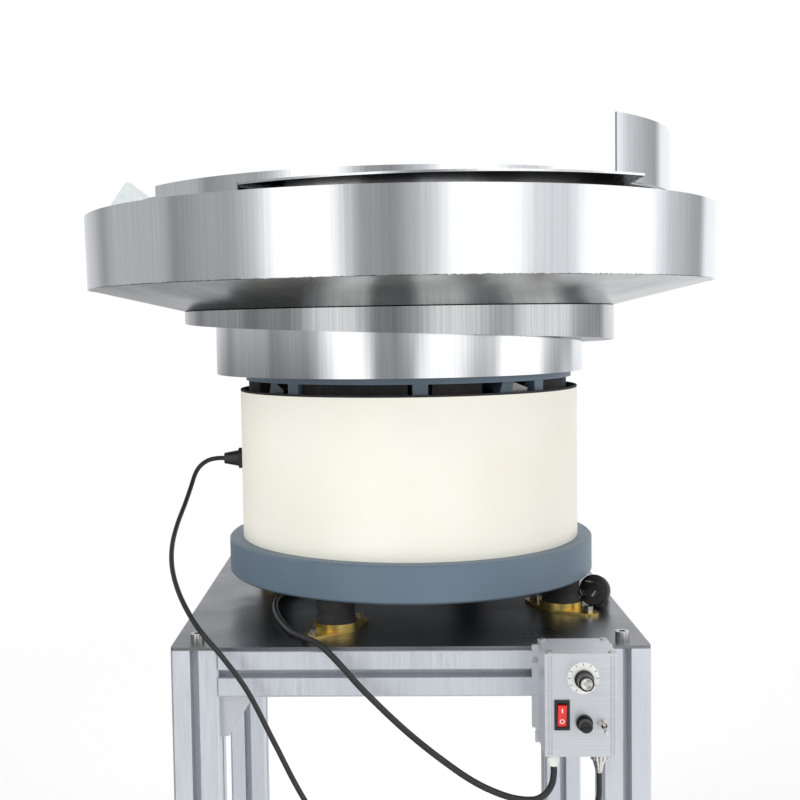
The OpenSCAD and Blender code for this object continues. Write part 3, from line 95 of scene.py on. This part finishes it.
def splitCoords(tree, kind="Object"):
    coords = addNode(tree, "ShaderNodeTexCoord")
    return addNode(tree, "ShaderNodeSeparateXYZ", links={"Vector": coords.outputs[kind]}).outputs


def objectCoords(tree, scale=(1, 1, 1)):
    coords = addNode(tree, "ShaderNodeTexCoord")
    mapping = addNode(tree, "ShaderNodeMapping", {"Scale": scale},
                      {"Vector": coords.outputs["Object"]})
    return mapping.outputs["Vector"]


def roundCoords(tree, along, across):
    # wraps the pattern round the vertical axis: x is the way round, z the height
    place = splitCoords(tree)
    angle = calc(tree, "ARCTAN2", place["Y"], place["X"])
    radius = distance(tree, place["X"], place["Y"])
    return addNode(tree, "ShaderNodeCombineXYZ", links={
        "X": calc(tree, "MULTIPLY", angle, along),
        "Y": calc(tree, "MULTIPLY", radius, across),
        "Z": calc(tree, "MULTIPLY", place["Z"], across)}).outputs[0]


def noise(tree, vector, scale, detail=2.0, rough=0.5):
    return addNode(tree, "ShaderNodeTexNoise",
                   {"Scale": scale, "Detail": detail, "Roughness": rough}, {"Vector": vector})


def valueRange(tree, value, low, high, fromLow=0.3, fromHigh=0.7):
    return addNode(tree, "ShaderNodeMapRange", {
        "From Min": fromLow, "From Max": fromHigh, "To Min": low, "To Max": high},
        {"Value": value}).outputs[0]


def colorMix(tree, factor, first, second):
    # first and second are colours or the sockets that give them
    mix = addNode(tree, "ShaderNodeMix", data_type="RGBA")
    sockets = (mix.inputs[0], mix.inputs[6], mix.inputs[7])
    for socket, value in zip(sockets, (factor, first, second)):
        if isinstance(value, tuple):
            socket.default_value = value
        else:
            tree.links.new(value, socket)
    return mix.outputs[2]


def twoTones(tree, value, tones):
    return colorMix(tree, valueRange(tree, value, 0, 1), *[hexColor(tone) for tone in tones])


def addBump(tree, principled, height, strength, depth):
    bump = addNode(tree, "ShaderNodeBump", {"Strength": strength, "Distance": depth},
                   {"Height": height})
    tree.links.new(bump.outputs[0], principled.inputs["Normal"])


# the photograph's own camera, solved from the table, the ellipses and the box:
# its place in metres, its turns in radians, and the lens and centre in pixels
camera = {
    "place": (-0.01519, -1.32414, 0.95390),
    "pitch": 0.0576, "roll": 0.0164, "yaw": -0.0409,
    "focal": 1188.8355, "centerX": 336.1742, "centerY": 391.2409, "width": 800,
    "sensor": 36, "nearest": 0.05,
}


def makeCamera(c):
    yaw, pitch, roll = c["yaw"], c["pitch"], c["roll"]
    forward = Vector((math.sin(yaw) * math.cos(pitch), math.cos(yaw) * math.cos(pitch),
                      -math.sin(pitch)))
    right = Vector((math.cos(yaw), -math.sin(yaw), 0))
    down = forward.cross(right)
    across = math.cos(roll) * right + math.sin(roll) * down
    downward = -math.sin(roll) * right + math.cos(roll) * down
    turn = Matrix((across, -downward, -forward)).transposed()
    data = bpy.data.cameras.new("camera")
    data.sensor_width = c["sensor"]
    data.lens = c["focal"] / c["width"] * c["sensor"]
    data.shift_x = (c["width"] / 2 - c["centerX"]) / c["width"]
    data.shift_y = (c["centerY"] - c["width"] / 2) / c["width"]
    data.clip_start = c["nearest"]
    holder = bpy.data.objects.new("camera", data)
    scene.collection.objects.link(holder)
    holder.matrix_world = Matrix.Translation(c["place"]) @ turn.to_4x4()
    scene.camera = holder


makeCamera(camera)
print("camera is set")

# points along each cord in millimetres, with the height counted from the table top
cords = {
    "drive": {
        "route": [(-196, 0, 154), (-204, 0, 154), (-214, -1, 152), (-222.5, -4.5, 146.5),
                  (-228, -10, 138), (-231.5, -23, 124), (-234.5, -44, 109.5),
                  (-238, -76, 92), (-238, -108, 76), (-233, -140, 61), (-223, -171, 46),
                  (-209, -200, 31), (-191, -226, 15), (-169, -239, -6), (-146, -243, -37),
                  (-122, -246, -84), (-96, -250, -134), (-60, -253, -189),
                  (-6, -255, -228), (56, -256, -240), (112, -256, -220), (150, -256, -184),
                  (168, -255, -150), (174.5, -254.5, -132.5), (175, -254.5, -116.5),
                  (175, -254.5, -108.5)],
        "diameter": 0.005,
    },
    "mains": {
        "route": [(134, -254.5, -102), (134, -254.5, -110), (132, -255, -120),
                  (125.5, -256, -129), (114, -257, -133.5), (92, -257, -130.5),
                  (63, -256, -118), (32, -254, -97), (-2, -250, -70), (-38, -245, -36),
                  (-58, -241, -14.5), (-71, -235, -2.5), (-82, -226, 3.9),
                  (-94, -210, 4.6), (-111, -178, 3.4), (-128, -120, 3.2),
                  (-136, -60, 3.2), (-128, -14, 3.2), (-98, 16, 3.2),
                  (-40, 29, 3.2), (20, 30, 3.2), (80, 25, 3.2), (130, 14, 3.2),
                  (167, 5, 3.2), (194, -1.5, 3.2), (211, -8, 3.2), (221, -20, 3.6),
                  (223.5, -33, 5.6), (217.47, -46.21, 9.39)],
        "diameter": 0.006,
    },
}
cordSteps = 8
cordRoundness = 4
perMetre = 1000
# the table's top to a tenth of a millimetre
tableTop = round(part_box("table_plate")[1].z, 4)


def cordPlaces(route):
    return [(x / perMetre, y / perMetre, tableTop + z / perMetre) for x, y, z in route]


def smoothLine(points, steps):
    # a smooth curve through the points, with that many steps between two of them
    points = [Vector(p) for p in points]
    line = []
    for i in range(len(points) - 1):
        a, b = points[max(0, i - 1)], points[i]
        c, d = points[i + 1], points[min(len(points) - 1, i + 2)]
        for k in range(steps):
            s = k / steps
            line.append(0.5 * (2 * b + (c - a) * s + (2 * a - 5 * b + 4 * c - d) * s * s
                               + (3 * b - a - 3 * c + d) * s ** 3))
    return line + [points[-1]]


def lineLength(line):
    return sum((b - a).length for a, b in zip(line, line[1:]))


def makeCord(name, route, diameter):
    curve = bpy.data.curves.new(name, "CURVE")
    curve.dimensions = "3D"
    curve.bevel_depth = diameter / 2
    curve.bevel_resolution = cordRoundness
    line = smoothLine(cordPlaces(route), cordSteps)
    spline = curve.splines.new("POLY")
    spline.points.add(len(line) - 1)
    for point, place in zip(spline.points, line):
        point.co = (*place, 1)
    curve.use_fill_caps = True
    cord = bpy.data.objects.new(name, curve)
    scene.collection.objects.link(cord)
    return cord, lineLength(line)


driveCord, driveLength = makeCord("driveCord", cords["drive"]["route"], cords["drive"]["diameter"])
mainsCord, mainsLength = makeCord("mainsCord", cords["mains"]["route"], cords["mains"]["diameter"])
print("cords are", round(driveLength, 3), "and", round(mainsLength, 3), "metres long")

# the welded line's wander and widths, and how softly the painted shade on the wall ends, in metres
seam = {"wander": 0.0006, "black": 0.0003, "edge": 0.0009, "tone": "#3c3836"}
shade = {"fade": 0.004, "tone": "#393433"}


def polishedStainless(name, tones, rough, undersideShade=None, weldHeight=None, shadeHeight=None):
    # polished 304 sheet, buffed up and down: fine upright streaks, partly buffing
    # marks and partly painted reflection, cloudy painted shade on faces that look
    # down, a dark ragged line where a seam was welded, and painted shade on the
    # wall below the lane's height
    material, tree, principled = newMaterial(name, Metallic=1.0, Roughness=rough)
    # the upright streaks are partly buffing marks and partly painted reflection
    buffingAndReflectionStreaks = noise(tree, roundCoords(tree, 90, 3), 1.0, 4.0, 0.6)
    wash = noise(tree, roundCoords(tree, 5, 6), 1.0, 3.0, 0.5)
    base = twoTones(tree, buffingAndReflectionStreaks.outputs["Fac"], tones)
    height = splitCoords(tree)["Z"]
    # painted shade: faces that look down take darker, cloudy tones
    if undersideShade:
        clouds = noise(tree, objectCoords(tree), 14, 4.0, 0.6)
        down = valueRange(tree, splitCoords(tree, "Normal")["Z"], 1, 0, -0.4, -0.2)
        base = colorMix(tree, down, base, twoTones(tree, clouds.outputs["Fac"], undersideShade))
    if weldHeight:
        ragged = noise(tree, roundCoords(tree, 120, 1), 1.0, 3.0, 0.7)
        line = valueRange(tree, ragged.outputs["Fac"], weldHeight - seam["wander"],
                          weldHeight + seam["wander"])
        near = calc(tree, "ABSOLUTE", calc(tree, "SUBTRACT", height, line))
        black = valueRange(tree, near, 0.85, 0, seam["black"], seam["edge"])
        base = colorMix(tree, black, base, hexColor(seam["tone"]))
    # painted shade: the wall goes dark below the lane's height, all round
    if shadeHeight:
        paintedShadeMask = valueRange(tree, height, 1, 0, shadeHeight - shade["fade"], shadeHeight)
        base = colorMix(tree, paintedShadeMask, base, hexColor(shade["tone"]))
    tree.links.new(base, principled.inputs["Base Color"])
    tree.links.new(valueRange(tree, wash.outputs["Fac"], rough - 0.03, rough + 0.05),
                   principled.inputs["Roughness"])
    addBump(tree, principled, buffingAndReflectionStreaks.outputs["Fac"], 0.05, 0.0002)
    return material


def anodisedAluminium(name, tones, scale=(700, 700, 30)):
    # satin anodised extrusion: pale grey, soft broad gloss, faint draw lines
    material, tree, principled = newMaterial(name, Metallic=0.75, Roughness=0.42)
    lines = noise(tree, objectCoords(tree, scale), 1.0, 2.0)
    base = twoTones(tree, lines.outputs["Fac"], tones)
    tree.links.new(base, principled.inputs["Base Color"])
    tree.links.new(valueRange(tree, lines.outputs["Fac"], 0.36, 0.5),
                   principled.inputs["Roughness"])
    addBump(tree, principled, lines.outputs["Fac"], 0.06, 0.0002)
    return material


def platedSteel(name, tones, rough=0.28, grain=600):
    # zinc or nickel plated steel: small bright parts with a slight haze
    material, tree, principled = newMaterial(name, Metallic=1.0, Roughness=rough)
    haze = noise(tree, objectCoords(tree), grain, 3.0)
    base = twoTones(tree, haze.outputs["Fac"], tones)
    tree.links.new(base, principled.inputs["Base Color"])
    tree.links.new(valueRange(tree, haze.outputs["Fac"], rough - 0.06, rough + 0.1),
                   principled.inputs["Roughness"])
    return material


def darkPlate(name):
    # ground and polished steel plate: dark, brushed one way, smudged by hands
    material, tree, principled = newMaterial(name, Metallic=1.0, Roughness=0.3)
    lines = noise(tree, objectCoords(tree, (6, 900, 900)), 1.0, 3.0, 0.6)
    smudge = noise(tree, objectCoords(tree), 9, 4.0, 0.6)
    base = twoTones(tree, lines.outputs["Fac"], ("#77797c", "#8d8f92"))
    tree.links.new(base, principled.inputs["Base Color"])
    tree.links.new(valueRange(tree, smudge.outputs["Fac"], 0.24, 0.42),
                   principled.inputs["Roughness"])
    addBump(tree, principled, lines.outputs["Fac"], 0.1, 0.0002)
    return material


def powderCoat(name, tones, rough, cell, strength):
    # sprayed and baked coat: even colour and the dimples of orange peel
    material, tree, principled = newMaterial(name, Roughness=rough)
    peel = noise(tree, objectCoords(tree), 1 / cell, 2.0)
    tint = noise(tree, objectCoords(tree), 7, 3.0)
    base = twoTones(tree, tint.outputs["Fac"], tones)
    tree.links.new(base, principled.inputs["Base Color"])
    tree.links.new(valueRange(tree, peel.outputs["Fac"], rough - 0.05, rough + 0.08),
                   principled.inputs["Roughness"])
    addBump(tree, principled, peel.outputs["Fac"], strength, cell / 4)
    return material


def mouldedPlastic(name, tones, rough=0.4, grain=0.0006, strength=0.15, **shader):
    # injection moulded part: even colour, fine spark eroded grain
    material, tree, principled = newMaterial(name, Roughness=rough, **shader)
    grainNoise = noise(tree, objectCoords(tree), 1 / grain, 2.0)
    tint = noise(tree, objectCoords(tree), 60, 2.0)
    base = twoTones(tree, tint.outputs["Fac"], tones)
    tree.links.new(base, principled.inputs["Base Color"])
    tree.links.new(valueRange(tree, grainNoise.outputs["Fac"], rough - 0.05, rough + 0.07),
                   principled.inputs["Roughness"])
    addBump(tree, principled, grainNoise.outputs["Fac"], strength, grain / 3)
    return material


def faceOffsets(tree, nodeName):
    # distances sideways and upward from the middle of a piece on the box's front
    low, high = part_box(nodeName)
    place = splitCoords(tree)
    return (calc(tree, "SUBTRACT", place["X"], (low.x + high.x) / 2),
            calc(tree, "SUBTRACT", place["Z"], (low.z + high.z) / 2))


def printOn(material, mask, ink):
    tree = material.node_tree
    principled = tree.nodes["Principled BSDF"]
    ground = principled.inputs["Base Color"].links[0].from_socket
    tree.links.new(colorMix(tree, mask, ground, hexColor(ink)), principled.inputs["Base Color"])
    return material


rockerMarks = {"barHalf": 0.0005, "barTall": 0.0019, "ringRadius": 0.0018, "ringHalf": 0.00035,
               "ink": "#f2e9e6"}


def rockerRed(name, m):
    # glossy red polycarbonate with a bar on its upper half and a ring below
    material = mouldedPlastic(name, ("#dc1c16", "#e8281e"), 0.16, Coat_Weight=0.6)
    tree = material.node_tree
    low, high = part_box("rocker")
    quarter = (high.z - low.z) / 4
    side, up = faceOffsets(tree, "rocker")
    bar = calc(tree, "MULTIPLY", within(tree, side, 0, m["barHalf"]),
               within(tree, up, quarter, m["barTall"]))
    far = distance(tree, side, calc(tree, "ADD", up, quarter))
    ring = within(tree, far, m["ringRadius"], m["ringHalf"])
    return printOn(material, calc(tree, "MAXIMUM", bar, ring), m["ink"])


# tickShare is half a tick's width as a share of the step from tick to tick, and
# the steps are counted from a whole number and a half so that none is negative
dialMarks = {"tickRadius": 0.0125, "tickHalf": 0.0011, "tickStep": math.radians(30),
             "tickShare": 0.045, "firstStep": 100.5, "openBelow": math.radians(25),
             "ink": "#1b1b1c"}


def dialSheet(name, m):
    # white label sheet with a ring of plain black ticks, open at the bottom
    material = mouldedPlastic(name, ("#f0f0ee", "#e9e9e7"), 0.5)
    tree = material.node_tree
    side, up = faceOffsets(tree, "dial_plate")
    turn = calc(tree, "ARCTAN2", side, calc(tree, "MULTIPLY", up, -1))
    steps = calc(tree, "ADD", calc(tree, "DIVIDE", turn, m["tickStep"]), m["firstStep"])
    ticks = calc(tree, "MULTIPLY",
                 within(tree, calc(tree, "FRACT", steps), 0.5, m["tickShare"]),
                 within(tree, distance(tree, side, up), m["tickRadius"], m["tickHalf"]))
    shown = calc(tree, "GREATER_THAN", calc(tree, "ABSOLUTE", turn), m["openBelow"])
    return printOn(material, calc(tree, "MULTIPLY", ticks, shown), m["ink"])


def blackRubber(name, cell=0.0012, strength=0.35):
    # cured natural rubber: nearly black, dull, a little dusty
    material, tree, principled = newMaterial(name, Roughness=0.78)
    skin = noise(tree, objectCoords(tree), 1 / cell, 3.0)
    dust = noise(tree, objectCoords(tree), 45, 3.0)
    base = twoTones(tree, dust.outputs["Fac"], ("#171718", "#2c2c2d"))
    tree.links.new(base, principled.inputs["Base Color"])
    addBump(tree, principled, skin.outputs["Fac"], strength, cell / 2)
    return material


def yellowZinc(name):
    # yellow chromated zinc: gold with greenish and reddish clouds
    material, tree, principled = newMaterial(name, Metallic=1.0, Roughness=0.32)
    cloud = noise(tree, objectCoords(tree), 55, 3.0, 0.6)
    ramp = addNode(tree, "ShaderNodeValToRGB", links={"Fac": cloud.outputs["Fac"]})
    ramp.color_ramp.elements[0].position = 0.32
    ramp.color_ramp.elements[0].color = hexColor("#b9b078")
    ramp.color_ramp.elements[1].position = 0.68
    ramp.color_ramp.elements[1].color = hexColor("#cf9f62")
    middle = ramp.color_ramp.elements.new(0.5)
    middle.color = hexColor("#d8bd6c")
    tree.links.new(ramp.outputs["Color"], principled.inputs["Base Color"])
    tree.links.new(valueRange(tree, cloud.outputs["Fac"], 0.26, 0.42),
                   principled.inputs["Roughness"])
    return material


def laminatedCore(name):
    # stacked electrical sheet, 0.5 mm each, drawn 2 mm apart so that it shows
    material, tree, principled = newMaterial(name, Metallic=0.8, Roughness=0.5)
    stack = addNode(tree, "ShaderNodeTexWave", {"Scale": 80.0, "Distortion": 0.2},
                    {"Vector": objectCoords(tree)}, bands_direction="Y")
    base = colorMix(tree, stack.outputs["Fac"], hexColor("#4b4b4c"), hexColor("#7e7e7e"))
    tree.links.new(base, principled.inputs["Base Color"])
    addBump(tree, principled, stack.outputs["Fac"], 0.4, 0.0003)
    return material


def woundCopper(name):
    # enamelled winding wire under varnish: reddish brown, lines round the coil
    material, tree, principled = newMaterial(name, Roughness=0.3)
    turns = addNode(tree, "ShaderNodeTexWave", {"Scale": 160.0, "Distortion": 0.4},
                    {"Vector": objectCoords(tree)}, bands_direction="Z")
    base = colorMix(tree, turns.outputs["Fac"], hexColor("#5c2c14"), hexColor("#a85f2d"))
    tree.links.new(base, principled.inputs["Base Color"])
    addBump(tree, principled, turns.outputs["Fac"], 0.5, 0.0004)
    return material


def clearAcrylic(name):
    # cut cast acrylic: clear, with a slight milky haze
    material, tree, principled = newMaterial(
        name, Roughness=0.08, IOR=1.49, Transmission_Weight=0.9)
    haze = noise(tree, objectCoords(tree), 120, 2.0)
    base = twoTones(tree, haze.outputs["Fac"], ("#eef4f4", "#dfe9e9"))
    tree.links.new(base, principled.inputs["Base Color"])
    tree.links.new(valueRange(tree, haze.outputs["Fac"], 0.04, 0.14),
                   principled.inputs["Roughness"])
    return material


brightSheet = ("#dbdddf", "#cccecf")
halfSeam = 0.0005
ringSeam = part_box("outer_ring")[0].z
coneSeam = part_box("tray_cone")[0].z + halfSeam
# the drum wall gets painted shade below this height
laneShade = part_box("upper_lane")[0].z - halfSeam

finishes = {
    "bowl": polishedStainless("polishedStainless", brightSheet, 0.09),
    "ring": polishedStainless("weldedStainless", brightSheet, 0.09, weldHeight=ringSeam),
    # painted shade: a darker copy of the sheet for the band that sits under the cone
    "band": polishedStainless("shadedBandStainless", ("#b4b5b6", "#9c9d9e"), 0.12),
    # the cone's downward faces get painted shade
    "cone": polishedStainless("coneStainless", ("#d2d4d5", "#c2c4c5"), 0.2,
                              undersideShade=("#8a8b8a", "#b9bab9"), weldHeight=coneSeam),
    # the drum wall gets painted shade below the lane's height
    "drum": polishedStainless("drumStainless", brightSheet, 0.1, shadeHeight=laneShade),
    # the lane's underside gets a nearly black painted shade
    "lane": polishedStainless("laneStainless", brightSheet, 0.16, undersideShade=("#2b2627", "#3b3839")),
    # the bowl's inner parts get painted shade on their downward faces
    "bowlInside": polishedStainless("satinStainless", ("#cfd1d2", "#bdbfc0"), 0.26,
                                    undersideShade=("#4a4646", "#6a6867")),
    "profile": anodisedAluminium("anodisedAluminium", ("#d0d4db", "#d8dce2")),
    "bracket": anodisedAluminium("castAluminium", ("#c6c9cd", "#d2d5d9"), (900, 900, 900)),
    "boxShell": anodisedAluminium("brushedAluminium", ("#c9ccd1", "#d6d9de"), (14, 900, 900)),
    "zinc": platedSteel("zincPlatedSteel", ("#b7b7b5", "#d0d0ce")),
    "nickel": platedSteel("nickelPlatedBrass", ("#c6c4bf", "#dad8d3"), 0.2),
    "oxide": platedSteel("blackOxideSteel", ("#2a2a2c", "#3a3a3c"), 0.42),
    "spring": platedSteel("springSteel", ("#6e6e6d", "#8b8b89"), 0.34),
    "table": darkPlate("groundSteelPlate"),
    "cream": powderCoat("creamPowderCoat", ("#f3f1e6", "#eeebdd"), 0.42, 0.0022, 0.12),
    "blueGrey": powderCoat("greyStructurePaint", ("#5c6d7b", "#647584"), 0.45, 0.0016, 0.3),
    "rubber": blackRubber("naturalRubber"),
    "padding": blackRubber("embossedRubber", 0.004, 0.9),
    "yellow": yellowZinc("yellowChromatedZinc"),
    "core": laminatedCore("electricalSheet"),
    "coil": woundCopper("varnishedWinding"),
    "clear": clearAcrylic("castAcrylic"),
    "black": mouldedPlastic("blackNylon", ("#161617", "#1f1f21"), 0.4),
    "knob": mouldedPlastic("blackPhenolic", ("#111112", "#1a1a1b"), 0.25),
    "white": mouldedPlastic("whiteNylon", ("#ecebe6", "#e2e1db"), 0.38),
    "dial": dialSheet("whiteLabelSheet", dialMarks),
    "red": rockerRed("redPolycarbonate", rockerMarks),
    "pad": mouldedPlastic("blackPolyamide", ("#202022", "#2a2a2c"), 0.5),
    "cord": mouldedPlastic("softVinyl", ("#19191b", "#232325"), 0.42, 0.0012, 0.2),
}

nodeFinish = {
    "posts": "profile", "rails": "profile", "brackets": "bracket", "bracket_screws": "zinc",
    "levelling_pads": "pad", "levelling_studs": "zinc", "table_plate": "table",
    "plate_bolts": "zinc", "foot_flanges": "yellow", "flange_bolts": "zinc",
    "rubber_feet": "rubber", "base_disc": "blueGrey", "drive_cover": "cream",
    "cover_seal": "rubber", "magnet_core": "core", "magnet_coil": "coil", "armature": "core",
    "lower_clamps": "blueGrey", "leaf_springs": "spring", "upper_bolts": "oxide",
    "lower_bolts": "oxide", "drive_casting": "blueGrey", "pocket_pads": "padding",
    "bowl_base": "bowlInside", "bowl_floor": "bowlInside", "bowl_bolts": "zinc",
    "bowl_skirt": "bowl", "step_band": "band", "spiral_track": "bowlInside",
    "tray_cone": "cone", "outer_ring": "ring", "bowl_drum": "drum", "upper_lane": "lane",
    "lane_rail": "bowl", "tall_guard": "bowl", "discharge_chute": "bowlInside",
    "clear_guard": "clear", "drive_gland": "black", "box_shell": "boxShell",
    "box_ends": "boxShell", "box_screws": "zinc", "box_holder": "boxShell",
    "dial_plate": "dial", "speed_pot": "nickel", "speed_knob": "knob", "knob_cap": "nickel",
    "rocker_frame": "black", "rocker": "red", "fuse_holder": "knob", "fuse_cap": "knob",
    "toggle_body": "nickel", "toggle_lever": "nickel", "mains_gland": "white",
    "cord_socket": "nickel", "cord_plug": "nickel", "coupling_ring": "nickel",
    "drive_cord": "cord", "mains_cord": "cord", "mains_plug": "cord", "plug_pins": "nickel",
}


def setMaterial(piece, material):
    piece.data.materials.clear()
    piece.data.materials.append(material)


for nodeName, finish in nodeFinish.items():
    setMaterial(nodes[nodeName], finishes[finish])
setMaterial(driveCord, finishes["cord"])
setMaterial(mainsCord, finishes["cord"])
print("materials are on the solids")

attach(driveCord, "stand")
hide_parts("drive_cord")
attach(mainsCord, "stand")
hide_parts("mains_cord")

# highWall and lowWall are what the bright metal mirrors above and below the
# horizon: degrees round the room and how light the room is there, out of 255.
# Each lamp has its place, what it points at, its size and its power.
studio = {
    "floorSide": 14.0, "floorDrop": 0.0005, "floorNear": 0.9, "floorFar": 2.6,
    "skyLight": 0.75, "wallLight": 1.7, "horizonFade": 0.08,
    "lamps": {
        "keyLamp": ((-1.9, -2.2, 2.4), (0, 0, 0.8), (1.0, 1.6), 38),
        "fillLamp": ((2.2, -1.7, 1.5), (0, 0, 0.8), (0.9, 1.6), 16),
        "backLamp": ((0.4, 2.4, 2.2), (0, 0, 0.9), (1.6, 1.0), 26),
    },
    "wallContrast": 2.6, "whiteLevel": 240, "coolTint": (0.97, 0.985, 1.01),
    "highWall": [(-180, 173), (-177, 166), (-173, 140), (-160, 162), (-148, 162), (-140, 190),
                 (-131, 250), (-113, 250), (-108, 206), (-102, 152), (-96, 152), (-92, 140),
                 (-87, 169), (-78, 205), (-72, 247), (-50, 247), (-44, 216), (-38, 208),
                 (-30, 208), (-24, 250), (5, 250), (10, 223), (17, 192), (25, 180), (32, 165),
                 (40, 155), (47, 220), (56, 220), (130, 180), (141, 147), (152, 173),
                 (180, 173)],
    "lowWall": [(-180, 100), (-145, 100), (-138, 160), (-131, 200), (-126, 250), (-109, 250),
                (-104, 135), (-83, 135), (-77, 240), (-56, 240), (-50, 190), (-44, 157),
                (-38, 157), (-32, 177), (-26, 250), (0, 250), (10, 163), (22, 136), (33, 207),
                (80, 207), (126, 100), (180, 100)],
}


def makeFloor(s):
    bpy.ops.object.select_all(action="DESELECT")
    bpy.ops.mesh.primitive_plane_add(size=s["floorSide"], location=(0, 0, -s["floorDrop"]))
    floor = bpy.context.object
    floor.name = "floor"
    floor.visible_glossy = False
    # pale matt floor that turns into plain white far from the object
    material, tree, principled = newMaterial("paleStudioFloor", Roughness=0.9)
    principled.inputs["Base Color"].default_value = hexColor("#f4f4f4")
    coords = addNode(tree, "ShaderNodeTexCoord")
    far = addNode(tree, "ShaderNodeVectorMath", links={0: coords.outputs["Object"]},
                  operation="LENGTH")
    fade = valueRange(tree, far.outputs["Value"], 0, 1, s["floorNear"], s["floorFar"])
    glow = addNode(tree, "ShaderNodeEmission", {"Color": (1, 1, 1, 1), "Strength": 1.0})
    blend = addNode(tree, "ShaderNodeMixShader", links={
        0: fade, 1: principled.outputs[0], 2: glow.outputs[0]})
    tree.links.new(blend.outputs[0], tree.nodes["Material Output"].inputs["Surface"])
    setMaterial(floor, material)


def roomWall(tree, turn, stops, s):
    ramp = addNode(tree, "ShaderNodeValToRGB", links={"Fac": turn})
    band = ramp.color_ramp
    band.elements[0].position = 0
    band.elements[1].position = 1
    for degrees, level in stops[1:-1]:
        band.elements.new((degrees + 180) / 360)
    for element, (degrees, level) in zip(band.elements, stops):
        bright = (level / 255) ** s["wallContrast"]
        cool = s["coolTint"] if level < s["whiteLevel"] else (1, 1, 1)
        element.color = (*(bright * c for c in cool), 1)
    return ramp.outputs["Color"]


def makeWorld(s):
    # the camera sees plain white, bright metal sees the room, the rest soft light
    world = bpy.data.worlds.new("studio")
    scene.world = world
    world.use_nodes = True
    tree = world.node_tree
    tree.nodes.clear()
    path = addNode(tree, "ShaderNodeLightPath").outputs
    seen = calc(tree, "MAXIMUM", path["Is Camera Ray"], path["Is Transmission Ray"])
    way = splitCoords(tree, "Generated")
    turn = valueRange(tree, calc(tree, "ARCTAN2", way["Y"], way["X"]), 0, 1, -math.pi, math.pi)
    room = colorMix(tree, valueRange(tree, way["Z"], 0, 1, -s["horizonFade"], 0.0),
                    roomWall(tree, turn, s["lowWall"], s),
                    roomWall(tree, turn, s["highWall"], s))
    mirrored = addNode(tree, "ShaderNodeBackground", {"Strength": s["wallLight"]},
                       {"Color": room})
    light = addNode(tree, "ShaderNodeBackground",
                    {"Color": (1, 1, 1, 1), "Strength": s["skyLight"]})
    white = addNode(tree, "ShaderNodeBackground", {"Color": (1, 1, 1, 1), "Strength": 1.0})
    inner = addNode(tree, "ShaderNodeMixShader", links={
        0: path["Is Glossy Ray"], 1: light.outputs[0], 2: mirrored.outputs[0]})
    mix = addNode(tree, "ShaderNodeMixShader", links={
        0: seen, 1: inner.outputs[0], 2: white.outputs[0]})
    addNode(tree, "ShaderNodeOutputWorld", links={"Surface": mix.outputs[0]})


def makeLamp(name, place, target, size, power):
    data = bpy.data.lights.new(name, "AREA")
    data.shape = "RECTANGLE"
    data.size, data.size_y = size
    data.energy = power
    holder = bpy.data.objects.new(name, data)
    scene.collection.objects.link(holder)
    holder.location = place
    facing = Vector(target) - Vector(place)
    holder.rotation_euler = facing.to_track_quat("-Z", "Y").to_euler()
    holder.visible_camera = False
    holder.visible_glossy = False


makeFloor(studio)
makeWorld(studio)
for lampName, lamp in studio["lamps"].items():
    makeLamp(lampName, *lamp)
scene.view_settings.view_transform = "Standard"
print("studio is lit")
